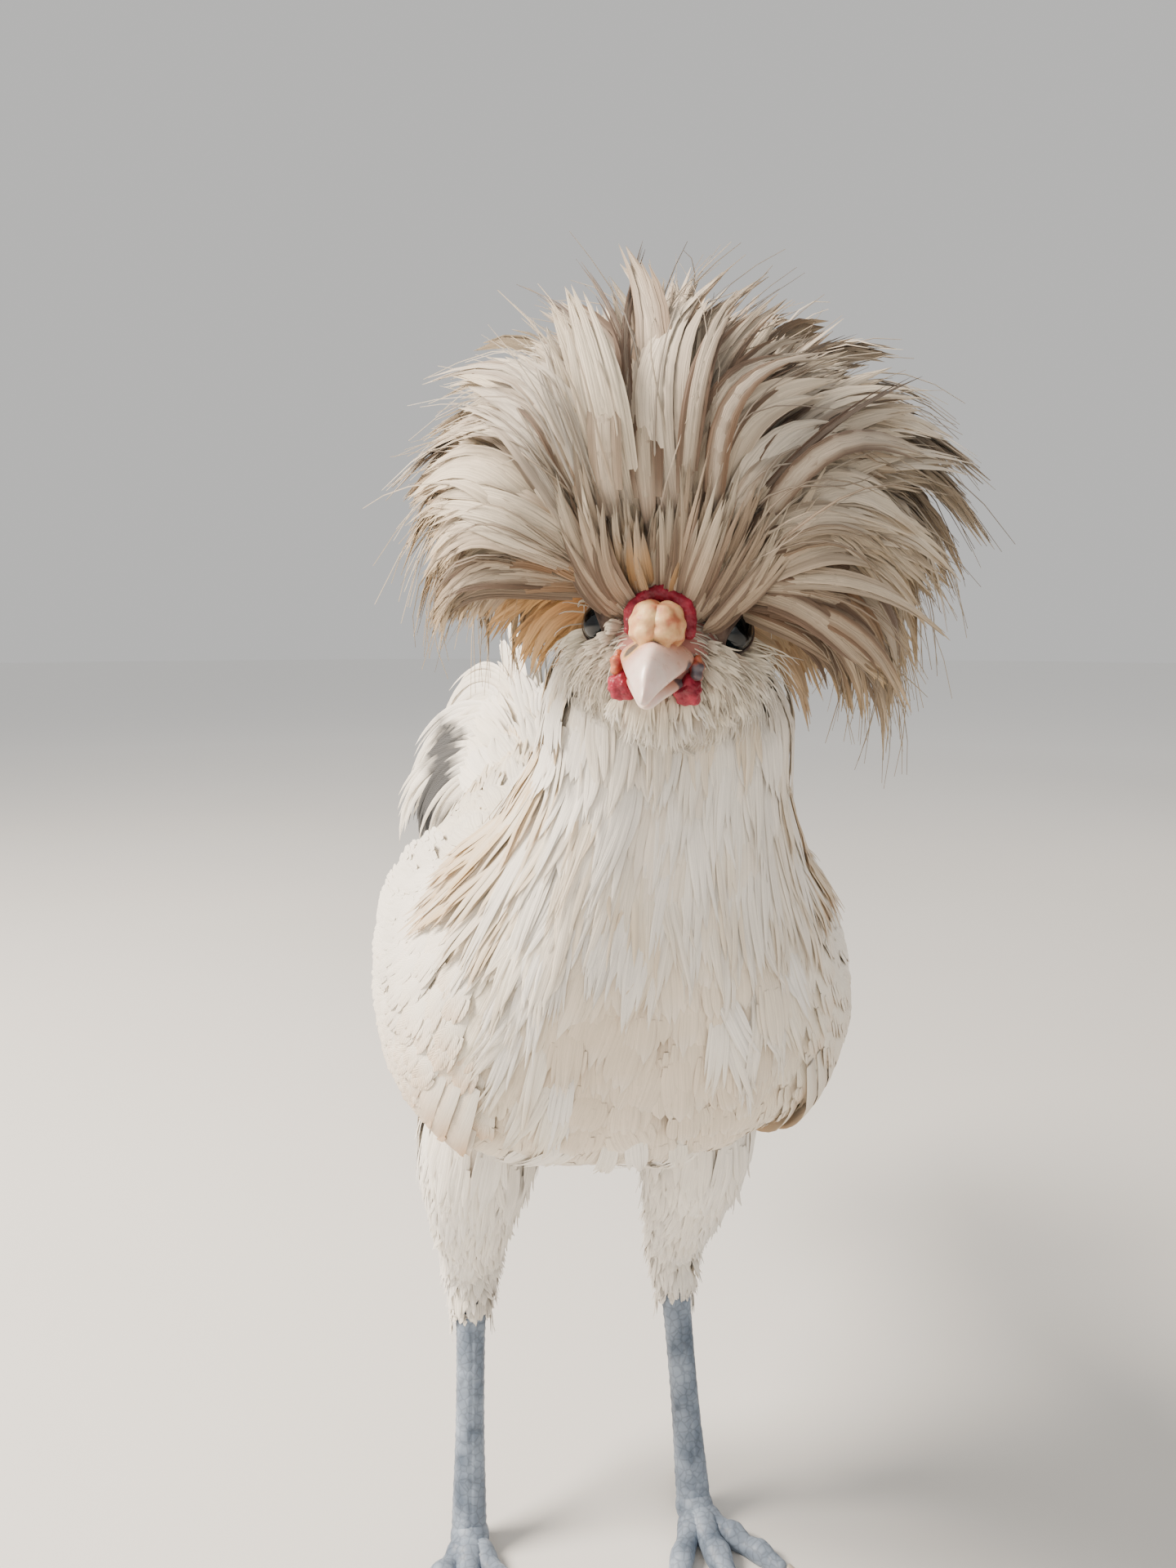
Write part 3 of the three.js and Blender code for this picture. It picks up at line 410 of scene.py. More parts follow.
def sampled(table, share):
    rows = table.shape[1] - 1
    spot = np.clip(share, 0, 1) * rows
    low = np.minimum(spot.astype(int), rows - 1)
    part = spot - low
    pick = np.arange(table.shape[0])[:, None]
    return mix(table[pick, low], table[pick, low + 1], part[..., None] if table.ndim == 3 else part)


# Blades along spines. centre and scale place a blade across its feather, for its colours.
def addBlades(coat, spine, normal, half, share, centre, scale, paint, owner, roots, ring, thick, cup=0.0):
    count, rows = half.shape
    along = unit(np.gradient(spine, axis=1))
    side = unit(np.cross(along, normal))
    normal = np.cross(side, along)
    u, rise = np.array(rings[ring], float).T
    taper = (0.35 + 0.65 * np.sin(np.pi * np.linspace(0.12, 0.97, rows)))[:, None]
    across = half[:, :, None] * u
    height = thick * taper * rise - cup * np.abs(across) * np.abs(u)
    points = spine[:, :, None] + side[:, :, None] * across[..., None] + normal[:, :, None] * height[..., None]
    size = len(u)
    k = np.arange(size)
    r = np.arange(rows - 1)[:, None] * size
    quad = np.stack([r + k, r + (k + 1) % size, r + size + (k + 1) % size, r + size + k], -1).reshape(-1, 4)
    start = coat["count"] + np.arange(count)[:, None, None] * rows * size
    coat["quads"].append((quad[None] + start).reshape(-1, 4))
    coat["caps"].append((np.stack([k[::-1], (rows - 1) * size + k])[None] + start).reshape(-1, size))
    coat["count"] += count * rows * size
    coat["points"].append(points.reshape(-1, 3))
    tilt = np.broadcast_to(u * ringTilt[ring], across.shape)
    coat["facing"].append(unit(normal[:, :, None] + side[:, :, None] * tilt[..., None]).reshape(-1, 3))
    coat["under"].append(np.tile(k >= size - ringUnder[ring], (rows - 1) * count))
    t = np.broadcast_to(share[:, :, None], across.shape)
    place = np.clip(centre[:, None, None] + u * scale[:, None, None], -1, 1)
    place = np.broadcast_to(place, across.shape)
    which = np.broadcast_to(owner[:, None, None], across.shape)
    coat["colour"].append(paint(t, place, which).reshape(-1, 3))
    length = np.linalg.norm(np.diff(spine, axis=1), axis=2).sum(1)
    coat["lie"].append(xyz(t * length[:, None, None], place * 4 + across, which * 0.618 % 1).reshape(-1, 3))
    uv = roots[owner][:, None, None] + bakePatch * np.stack([0.5 * place, t - 0.5], -1)
    coat["uv"].append(uv.reshape(-1, 2))


# Each feather is a thin vane with strips of barbs that lie along it and part at its tip. only numbers
# those that belong to this coat, of several feathers that share their lines and colours.
def addFeathers(coat, spine, normal, half, look, paint, roots, rng, only=None):
    if only is not None:
        paintAll = paint
        spine, normal, half, roots = (v[only] for v in (spine, normal, half, roots))

        def paint(t, u, k):
            return paintAll(t, u, only[k])

    count, strips = len(spine), look["strips"]
    every = np.arange(count)
    t = np.broadcast_to(np.linspace(0, 1, look["vaneRows"]), (count, look["vaneRows"]))
    shape = widths[look["width"]]
    reach = t * look["vaneEnd"]
    addBlades(coat, sampled(spine, reach), sampled(normal, reach),
              half[:, None] * shape(t) * look["vaneWide"], reach, np.zeros(count), np.ones(count), paint,
              every, roots, "vane", look["thick"], look["cup"])
    side = unit(np.cross(unit(np.gradient(spine, axis=1)), normal))
    pick = np.repeat(every, strips)
    place = np.tile(np.linspace(-1, 1, strips), count) + rng.normal(0, 0.5 / strips, len(pick))
    place = np.clip(place, -1.05, 1.05) * 0.93
    first = look["first"] + rng.uniform(0, 0.16, len(pick))
    last = 1 - look["blunt"] * np.abs(place) ** 1.8 - rng.uniform(0, look["ragged"], len(pick))
    own = np.linspace(0, 1, look["stripRows"])
    t = first[:, None] + (last - first)[:, None] * own
    spread = mix(np.clip(t / 0.45, 0, 1) ** 0.7, shape(np.clip(t, 0, 1)), look["gather"])
    offset = place[:, None] * half[pick][:, None] * spread
    flick = rng.normal(0, 1, len(pick)) * look["flick"] + place * look["flick"] * 0.8
    offset = offset + flick[:, None] * own**3
    rise = rng.uniform(0.05, 1, len(pick))[:, None] * look["loft"] * (0.25 + own)
    rise = rise - look["cup"] * np.abs(offset) * np.abs(place)[:, None]
    rise = rise + (rng.normal(0, 1, len(pick)) * look["flick"] * 0.5)[:, None] * own**3
    s, n, p = (sampled(v[pick], t) for v in (side, normal, spine))
    thin = (half[pick] / strips * look["stripWide"] * rng.uniform(0.6, 1.25, len(pick)))[:, None]
    thin = thin * (0.3 + 0.7 * np.sin(np.pi * (0.12 + 0.62 * own))) * (1 - own**4) ** 0.7 + 0.03
    addBlades(coat, p + s * offset[..., None] + n * rise[..., None], n, thin, t, place,
              np.full(len(pick), 1 / strips), paint, pick, roots, "strand", look["stripThick"])


def addHairs(coat, spine, normal, half, paint, roots, thick):
    count, rows = spine.shape[:2]
    t = np.broadcast_to(np.linspace(0, 1, rows), (count, rows))
    addBlades(coat, spine, normal, half[:, None] * widths["hair"](t), t, np.zeros(count), np.ones(count),
              paint, np.arange(count), roots, "strand", thick)


def addCoat(name, coat, material, slot, *nodes):
    whole = {key: np.concatenate(coat[key]) for key in ("points", "lie", "colour", "uv", "facing", "under")}
    faces = [f for part in coat["quads"] + coat["caps"] for f in part.tolist()]
    mesh = bpy.data.meshes.new(name)
    mesh.from_pydata(((whole["points"] + shift) / 1000).tolist(), [], faces)
    mesh.attributes.new("lie", "FLOAT_VECTOR", "POINT").data.foreach_set(
        "vector", whole["lie"].ravel().astype(np.float32))
    colour = np.column_stack([whole["colour"], np.ones(len(whole["colour"]))])
    mesh.attributes.new("plumage", "FLOAT_COLOR", "POINT").data.foreach_set(
        "color", colour.ravel().astype(np.float32))
    corner = np.empty(len(mesh.loops), np.int32)
    mesh.loops.foreach_get("vertex_index", corner)
    uv = np.clip(whole["uv"], 0.001, 0.999)[corner]
    mesh.uv_layers.new(name="OFBake").data.foreach_set("uv", uv.ravel().astype(np.float32))
    dress(name, mesh, material, slot, nodes)
    facing = whole["facing"][corner]
    under = np.repeat(whole["under"], 4)
    facing[:len(under)][under] *= -1
    mesh.normals_split_custom_set(facing.tolist())
    print(f"{name}: {sum(len(f) - 2 for f in faces)} triangles")


def grow(name, finish, slot, *feathers, nodes=()):  # a piece of one kind of feather
    coat = newCoat()
    addFeathers(coat, *feathers)
    addCoat(name, coat, finish, slot, *nodes)


# The numbers of those candidates that lie at least the gap apart, in their order.
def evenRoots(candidates, gap):
    gaps = np.broadcast_to(gap, len(candidates)) ** 2
    kept, spots = [], np.empty((len(candidates), 3))
    for i, spot in enumerate(candidates):
        n = len(kept)
        if n == 0 or ((spots[:n] - spot) ** 2).sum(1).min() > gaps[i]:
            spots[n] = spot
            kept.append(i)
    return np.array(kept)


# Lengthwise barbs as fine streaks across the feather, in real millimetres, over its own colours.
def featherMaterial(name, streakMm, contrast, rough, sheen, bump, barbs=0.0):
    material, tree, shader, place = newMaterial(name, {"Sheen Weight": sheen, "Sheen Roughness": 0.5,
                                                       "Specular IOR Level": 0.28, "IOR": 1.45})
    lie = addNode(tree, "Attribute", {"attribute_name": "lie"}).outputs["Vector"]
    tint = addNode(tree, "Attribute", {"attribute_name": "plumage"}).outputs["Color"]
    fine = addNode(tree, "VectorMath", {"operation": "MULTIPLY", 1: (0.045, 1 / streakMm, 41)}, {0: lie})
    streaks = addNode(tree, "TexNoise", {"Scale": 1.0, "Detail": 3, "Roughness": 0.62},
                      {"Vector": fine.outputs[0]}).outputs[0]
    tone = addNode(tree, "MapRange", {1: 0.3, 2: 0.68, 3: 1 - contrast, 4: 1.06}, {0: streaks})
    drift = addNode(tree, "TexNoise", {"Scale": 55, "Detail": 2}, {"Vector": place})
    cloud = addNode(tree, "MapRange", {1: 0.35, 2: 0.65, 3: 0.94, 4: 1.04}, {0: drift.outputs[0]})
    both = addNode(tree, "Math", {"operation": "MULTIPLY"}, {0: tone.outputs[0], 1: cloud.outputs[0]})
    colour = addNode(tree, "VectorMath", {"operation": "SCALE"}, {0: tint, "Scale": both.outputs[0]})
    gloss = addNode(tree, "MapRange", {1: 0.3, 2: 0.7, 3: rough + 0.1, 4: rough - 0.08}, {0: streaks})
    tree.links.new(gloss.outputs[0], shader.inputs["Roughness"])
    height = streaks
    if barbs:  # the parallel barbs of a stiff vane, slanting away from its shaft
        apart = addNode(tree, "SeparateXYZ", {}, {0: lie})
        away = addNode(tree, "Math", {"operation": "ABSOLUTE"}, {0: apart.outputs[1]})
        slant = addNode(tree, "Math", {"operation": "MULTIPLY_ADD", 1: -0.8},
                        {0: away.outputs[0], 2: apart.outputs[0]})
        wave = addNode(tree, "Math", {"operation": "MULTIPLY", 1: 2 * math.pi / barbs}, {0: slant.outputs[0]})
        ripple = addNode(tree, "Math", {"operation": "SINE"}, {0: wave.outputs[0]})
        height = addNode(tree, "Math", {"operation": "MULTIPLY_ADD", 1: 0.22},
                         {0: ripple.outputs[0], 2: streaks}).outputs[0]
    finishWith(tree, shader, colour.outputs[0], height, bump, 0.0006)
    return material


# Loose crest feathers: matt and combed. Their barbs are drawn 0.6 mm apart, so that they show.
crestFinish = featherMaterial("loose crest feather", 0.6, 0.36, 0.7, 0.2, 0.6)
# Soft contour feathers: matt and white, with fainter streaks, so that the breast looks smooth.
coatFinish = featherMaterial("soft contour feather", 0.7, 0.15, 0.75, 0.25, 0.45)
# Hackles and saddle: smoother and a little glossy along their length.
hackleFinish = featherMaterial("glossy hackle feather", 0.6, 0.2, 0.6, 0.2, 0.5)
# Flight and tail vanes: stiff and smooth, with parallel slanting barbs 0.7 mm apart to show at this size.
vaneFinish = featherMaterial("stiff flight feather", 0.8, 0.07, 0.62, 0.15, 0.3, barbs=0.7)

plumage = {name: linear(value) for name, value in {
    "white": "#f6f1e9", "cream": "#f0e3cb", "gold": "#cf9f62", "straw": "#dcbd8b", "beige": "#dac5aa",
    "taupe": "#937c66", "umber": "#5c4638", "rose": "#d6a088", "amber": "#d98e52", "grey": "#b9b2aa",
    "charcoal": "#34363a", "whisker": "#ab9d8f",
}.items()}


# The first colour with others over it, each by its share.
def painted(first, *over):
    colour = plumage[first]
    for name, share in over:
        colour = colour + (plumage[name] - colour) * np.asarray(share)[..., None]
    return colour


print("tools and feather finishes are ready")

# The crest's front is a fountain: its feathers leave the forehead, rise and bend over to the outline.
# swing is in degrees from upright to the bird's left, depth in degrees behind the plane of the front.
crest = {
    "ball": (60, 46, 58, 49), "middle": (-1, 8, 12), "knob": (13, 14, 7), "locks": 110, "shorterBack": 4,
    "roll": 16, "backArc": (8, 144), "backBearing": (78, 282),
    "streaks": [  # swing, half width and shade
        (-30, 5, 0.75), (-6, 3, 0.4), (15, 4, 0.55), (-84, 6, 0.4), (52, 4, 0.3)],
    "outline": ([-140, -90, -60, -38, -20, 0, 20, 29, 37, 46, 60, 77, 93, 140],
                [1.0, 0.97, 0.95, 0.93, 0.98, 1.01, 0.99, 0.95, 0.83, 0.87, 0.92, 0.95, 0.98, 1.0]),
}
fan = {
    "left": 134, "right": 126, "depth": (-52, 40), "bow": (26, 96), "bulge": 15, "lower": (2, 11),
    "long": (400, 0.88, 1.04), "short": (300, 0.66, 0.92), "width": 9.0,
}
backFeathers = {"long": (270, 0.95, 1.03), "short": (120, 0.66, 0.92), "width": 12.0}
quills = {"set": (120, 0.76, 1.08), "width": 4.6, "spareHalf": 0.65, "spareDepth": -25,
          "spare": [(-8, -36, 1.15, -78), (-5, -22, 1.14, -46), (2, -8, 1.12, 12), (50, 54, 1.1, 8),
                    (24, 40, 1.12, 40)]}  # swing at the root and tip, reach and bow
strays = {"fan": (1120, 0.7, 1.09), "back": (400, 0.86, 1.07)}
fluff = {"count": 170, "width": 4.2, "onRight": 0.84, "right": (-150, -98), "left": (108, 140)}
crestLook = feather("plume", vaneRows=9, vaneEnd=0.95, vaneWide=0.8, strips=6, stripRows=10, first=0.1,
                    blunt=0.12, ragged=0.14, gather=0.94, flick=0.8, loft=0.6, stripThick=0.2)
quillLook = {**crestLook, "width": "lance", "strips": 4, "flick": 0.5, "loft": 0.35}
backLook = {**crestLook, "vaneRows": 8, "stripRows": 8}
fluffLook = {**crestLook, "vaneRows": 6, "stripRows": 7, "strips": 5}


def ballSpot(bearing, tilt, share=1.0):
    x, front, back, z = crest["ball"]
    x0, y0, z0 = crest["middle"]
    b, a = np.radians(bearing), np.radians(tilt)
    out, ahead = np.sin(a) * share, np.cos(b)
    return xyz(x0 + x * out * np.sin(b), y0 - np.where(ahead > 0, front, back) * out * ahead,
               z0 + z * np.cos(a) * share)


def crownSpot(bearing, tilt):
    x, y, z = crest["knob"]
    b, a = np.radians(bearing), np.radians(tilt)
    return xyz(x * np.sin(a) * np.sin(b), -y * np.sin(a) * np.cos(b), z * np.cos(a))


# Small waves across and out of each feather, and a roll about its own length, then the crown's place.
def settled(line, normal, t, rng, wave):
    across = unit(np.cross(unit(np.gradient(line, axis=1)), normal))
    count = len(line)
    phase = rng.uniform(0, 2 * np.pi, (2, count, 1, 1))
    size = rng.normal(0, wave, (2, count, 1, 1))
    line = line + across * size[0] * 1.5 * np.sin(4.4 * t + phase[0]) * t
    line = line + normal * (size[1] * 1.3 * np.sin(3.6 * t + phase[1]) * t - np.abs(size[0]) * 0.8 * t**4)
    angle = np.radians(rng.normal(0, crest["roll"], (count, 1, 1))) * (0.4 + 0.6 * t)
    normal = normal * np.cos(angle) + across * np.sin(angle)
    return line @ crownTurn.T + crown, normal @ crownTurn.T


# Spines at the back: from the crown they rise, arch over and end on the ball.
def backLines(bearing, tip, share, rows, rng, wave, tipBearing):
    t = np.linspace(0, 1, rows)[None, :, None]
    a = crownSpot(bearing, np.minimum(88, 0.7 * tip))[:, None]
    b = ballSpot(bearing, 0.42 * tip, 0.94 * share)[:, None]
    c = ballSpot(tipBearing, tip, share)[:, None]
    tangent = 2 * (1 - t) * (b - a) + 2 * t * (c - b)
    turn = np.radians(bearing)[:, None]
    across = xyz(np.cos(turn), np.sin(turn), 0)
    return settled(arc(a, b, c, t), unit(np.cross(tangent, across)), t, rng, wave)


# Spines of the fountain. bow is how many degrees each bends towards the bird's left on its way.
def fanLines(swing, tip, depth, share, bow, rows, rng, wave=1.0, bulge=fan["bulge"]):
    x, front, back, z = crest["ball"]
    middle = np.array(crest["middle"], float)
    s, e, d = np.radians(swing), np.radians(tip), np.radians(depth)
    behind = smooth(-45, 45, depth)
    share = share * np.interp(tip, *crest["outline"])
    t = np.linspace(0, 1, rows)[None, :, None]
    jitter = rng.normal(0, 1, (3, len(s)))
    root = xyz(10.5 * np.sin(s) + jitter[0], -12.2 * np.cos(s / 2) + 9 * behind + jitter[1],
               0.8 + 4.2 * np.cos(s) + 3 * behind + 0.6 * jitter[2])
    end = middle + share[:, None] * xyz(x * np.sin(e) * np.cos(d),
                                        np.where(d > 0, back, front) * np.sin(d) * np.cos(0.5 * e),
                                        z * np.cos(e) * np.cos(0.7 * d))
    lower = np.where(e > 0, fan["lower"][1], fan["lower"][0])
    end[:, 2] -= lower * smooth(70, 130, np.abs(tip)) * np.clip(share, 0, 1.1) ** 3
    root, end, bow = root[:, None], end[:, None], np.radians(bow)[:, None, None]
    chord = end - root
    line = root + chord * t
    line[..., 1] = (root + chord * t**1.35)[..., 1] - (
        bulge * share[:, None] * (1 - 0.9 * behind[:, None]) * np.sin(np.pi * t[..., 0] ** 0.85))
    aside = chord[..., [2, 1, 0]] * (-1, 0, 1)
    line = line + aside * bow / 7.5 * np.sin(np.pi * t**1.3)
    outward = unit((line - middle) / np.array([x, front, z]) ** 2)
    forward = np.array([0, -0.75, 0.25]) * (1 - 0.75 * t) * (1 - behind)[:, None, None]
    return settled(line, unit(outward * (0.25 + t) + forward), t, rng, wave)


def backTips(count, rng):
    near, far = np.cos(np.radians(crest["backArc"]))
    tip = np.degrees(np.arccos(rng.uniform(far, near, count)))
    bearing = rng.uniform(*crest["backBearing"], count)
    return bearing - 360 * (bearing > 180), tip - crest["shorterBack"] * (tip > 80)


def fanTips(count, rng):
    swing = rng.uniform(-fan["right"], fan["left"], count)
    depth = rng.uniform(*fan["depth"], count)
    return swing, np.maximum(depth, np.interp(np.abs(swing), [80, 110, 136], [-60, -32, -8]))


def layered(tips, layers, rng):  # each layer is a number of feathers and how far they reach
    sets = [(*tips(n, rng), rng.uniform(low, high, n)) for n, low, high in layers]
    return [np.concatenate(v) for v in zip(*sets)]


def fanUv(swing, depth):
    return np.stack([0.5 + 0.48 * swing / 150, 0.06 + 0.4 * (depth + 52) / 92], -1)


def backUv(bearing, tip):
    b, r = np.radians(bearing), 0.42 * tip / 150
    return np.stack([0.5 + r * np.sin(b), 0.52 - r * np.cos(b)], -1)


# aside is -180 to 180 from the crest's top to the bird's left, low is 1 for hanging feathers, inner is 1
# for short ones and dark is 0 to 1 for how much taupe a feather has, most of it along its edges.
# Hanging and short feathers get more beige and taupe, and the crest is paler on the bird's right side:
# painted shade. gold and amber are a painted glow of light shining through the feathers.
def crestPaint(aside, low, inner, dark, gold, rng):
    low, inner, gold = (np.broadcast_to(v, len(aside)) for v in (low, inner, gold))
    # right is 1 on the bird's right side, which gets less beige below: painted shade.
    right = smooth(0.1, -0.7, np.sin(np.radians(aside)))
    # Hanging and short feathers get more taupe: painted shade, over the feathers' own taupe.
    dark = np.clip(dark + 0.28 * low + 0.22 * inner + rng.normal(0, 0.13, len(aside)), 0, 1)
    plain = rng.uniform(0, 1, len(aside))

    def paint(t, u, k):
        edge = smooth(0.25, 0.95, np.abs(u)) * smooth(0, 0.3, t)
        return painted(
            "cream", ("white", 0.75 * plain[k] * (1 - 0.8 * low[k])),
            ("beige", 0.18 + 0.4 * low[k] + 0.3 * inner[k] + 0.2 * (1 - right[k])),
            ("taupe", dark[k] * mix(0.35, 0.95, edge) * smooth(-0.1, 0.3, t)),
            ("umber", smooth(0.45, 1, dark[k]) * (0.2 + 0.6 * edge) * smooth(0, 0.2, t)),
            # gold and amber: a painted glow of light shining through the feathers.
            ("straw", 0.55 * smooth(0.7, 1, t) * (0.2 + 0.8 * low[k])), ("gold", 0.8 * gold[k]),
            ("amber", 0.6 * gold[k] * smooth(0.8, 0.2, t)), ("rose", smooth(0.2, 0.02, t) * 0.55))
    return paint


# Tips of a lock lean together, so that they meet in points with gaps between the locks.
def makeLocks(rng):
    n = crest["locks"]
    swing, depth = fanTips(n, rng)
    bearing, tip = backTips(n, rng)
    reach, bow = rng.normal(0.985, 0.05, n), rng.normal(0, 16, n)
    dark = np.clip(0.08 + rng.beta(1, 1.7, n), 0, 0.85)
    for middle, wide, more in crest["streaks"]:
        dark = np.clip(dark + more * np.exp(-((swing - middle) / wide) ** 2), 0, 1)
    return {"swing": swing, "depth": depth, "bearing": bearing, "tip": tip, "reach": reach, "bow": bow,
            "dark": dark}


def fanSet(locks, layers, rng, rows, wave, pull, bulge=fan["bulge"], spread=1.0, dark=0.0):
    swing, depth, share = layered(fanTips, layers, rng)
    swing = swing * spread
    lock = (((swing[:, None] - locks["swing"]) * 0.9) ** 2 + (depth[:, None] - locks["depth"]) ** 2).argmin(1)
    away = np.abs(swing)
    pull = rng.uniform(*pull, len(swing)) * mix(0.8, 1.25, smooth(60, 115, away))
    tip = mix(swing, locks["swing"][lock], pull)
    depth = mix(depth, locks["depth"][lock], pull)
    side = np.clip(away / 100, 0, 1)
    bow = np.sign(swing) * mix(*fan["bow"], side**0.85) * rng.normal(1, 0.16, len(swing))
    bow = bow + locks["bow"][lock] * mix(1.5, 0.6, side)
    reach = share * mix(1, locks["reach"][lock], 0.9)
    lines, normals = fanLines(swing, tip, depth, reach, bow, rows, rng, wave, bulge)
    inner = smooth(0.93, 0.7, share)
    # gold: a painted glow of light shining through the short feathers on the bird's right side.
    gold = np.clip(smooth(92, 122, -swing) * inner * 0.9 + rng.normal(0, 0.05, len(swing)), 0, 1)
    # The bird's left side gets more taupe than its right: painted shade, over each lock's own taupe.
    shade = locks["dark"][lock] * mix(1.1, 0.75, smooth(0, -70, swing)) + dark
    paint = crestPaint(swing, smooth(62, 118, away), inner, shade, gold, rng)
    return lines, normals, fanUv(swing, depth), swing, paint


def backSet(locks, layers, rng, rows, wave):
    bearing, tip, share = layered(backTips, layers, rng)
    lockSpot = ballSpot(locks["bearing"], locks["tip"])
    lock = np.linalg.norm(ballSpot(bearing, tip)[:, None] - lockSpot[None], axis=2).argmin(1)
    pull = rng.uniform(0.25, 0.75, len(tip))
    lean = (locks["bearing"][lock] - bearing + 180) % 360 - 180
    tipBearing = bearing + lean * pull * smooth(4, 30, tip)
    tip = tip + (locks["tip"][lock] - tip) * pull * 0.8
    reach = share * mix(1, locks["reach"][lock], 0.9)
    lines, normals = backLines(bearing, tip, reach, rows, rng, wave, tipBearing)
    paint = crestPaint(bearing, 0.8 * smooth(80, 130, tip), smooth(0.93, 0.7, share),
                       0.8 * locks["dark"][lock], 0, rng)
    return lines, normals, backUv(bearing, tip), paint


def makeCrest():
    rng = np.random.default_rng(seed)
    locks = makeLocks(rng)
    lines, normals, uv, swing, paint = fanSet(locks, [fan["long"], fan["short"]], rng, 16, 1.0, (0.3, 0.8))
    half = fan["width"] / 2 * rng.uniform(0.6, 1.2, len(swing)) * mix(1, 0.75, smooth(70, 125, np.abs(swing)))
    for name, only, nodes in (("crest_fan_left", swing >= 0, ("crest",)), ("crest_fan_right", swing < 0, ())):
        grow(name, crestFinish, "crest", lines, normals, half, crestLook, paint, uv, rng,
             np.flatnonzero(only), nodes=nodes)

    lines, normals, uv, paint = backSet(locks, [backFeathers["long"], backFeathers["short"]], rng, 12, 1.0)
    half = backFeathers["width"] / 2 * rng.uniform(0.8, 1.2, len(lines))
    grow("crest_back", crestFinish, "crest", lines, normals, half, backLook, paint, uv, rng)

    # Narrow darker feathers lie over the broad ones, a few quills stand beyond them, and single strands.
    coat = newCoat()
    lines, normals, uv, _, paint = fanSet(locks, [quills["set"]], rng, 14, 1.6, (0.1, 0.6),
                                          fan["bulge"] + 2.5, dark=0.42)
    half = quills["width"] / 2 * rng.uniform(0.6, 1.3, len(lines))
    addFeathers(coat, lines, normals, half, quillLook, paint, uv, rng)
    swing, tip, share, bow = np.array(quills["spare"], float).T
    lines, normals = fanLines(swing, tip, 0 * swing + quills["spareDepth"], share, bow, 16, rng, 2.2,
                              fan["bulge"] + 4)
    paint = crestPaint(swing, 0, 0, 0.9, 0, rng)
    addFeathers(coat, lines, normals, 0 * swing + quills["spareHalf"], quillLook,
                lambda t, u, k: mix(paint(t, u, k), plumage["umber"], 0.7), fanUv(swing, 0 * swing), rng)
    lines, normals, uv, _, paint = fanSet(locks, [strays["fan"]], rng, 11, 2.0, (0, 0.8),
                                          fan["bulge"] + 1.5, 1.02, 0.2)
    addHairs(coat, lines, normals, rng.uniform(0.12, 0.36, len(lines)), paint, uv, 0.22)
    lines, normals, uv, paint = backSet(locks, [strays["back"]], rng, 10, 1.8)
    addHairs(coat, lines, normals, rng.uniform(0.14, 0.4, len(lines)), paint, uv, 0.25)
    addCoat("crest_strands", coat, crestFinish, "crest")

    # Fluff lies under the side on the bird's right, and a little behind its left eye. Its gold is a painted
    # glow of light shining through it, and its extra beige and taupe are painted shade.
    n = fluff["count"]
    swing = np.where(rng.uniform(0, 1, n) < fluff["onRight"], rng.uniform(*fluff["right"], n),
                     rng.uniform(*fluff["left"], n))
    depth, share = rng.uniform(-30, 45, n), rng.uniform(0.42, 0.86, n)
    tip = swing + rng.normal(0, 6, n)
    lines, normals = fanLines(swing, tip, depth, share, np.sign(swing) * 60, 10, rng, 1.2, 4)
    # gold is a painted glow; low and inner at 1 add painted shade.
    dark, gold = rng.uniform(-0.3, 0.1, n), rng.uniform(0.9, 1.25, n)
    paint = crestPaint(swing, 1, 1, dark, np.where(swing > 0, 0.4, gold), rng)
    grow("crest_fluff", crestFinish, "crest", lines, normals, fluff["width"] / 2 * rng.uniform(0.6, 1.2, n),
         fluffLook, paint, fanUv(swing, depth), rng)


makeCrest()

# Narrow spiky feathers that stand up behind the comb in a V, with gaps between them.
brow = {"count": 250, "stations": (1.75, 3.1), "angles": (30, 150), "length": (17, 43), "width": 3.5,
        "points": 7}
browLook = feather("lance", vaneRows=6, vaneEnd=0.95, vaneWide=0.75, thick=0.25, cup=0.18, strips=4,
                   first=0.08, blunt=0.15, ragged=0.2, gather=0.95, flick=0.5, loft=0.4)


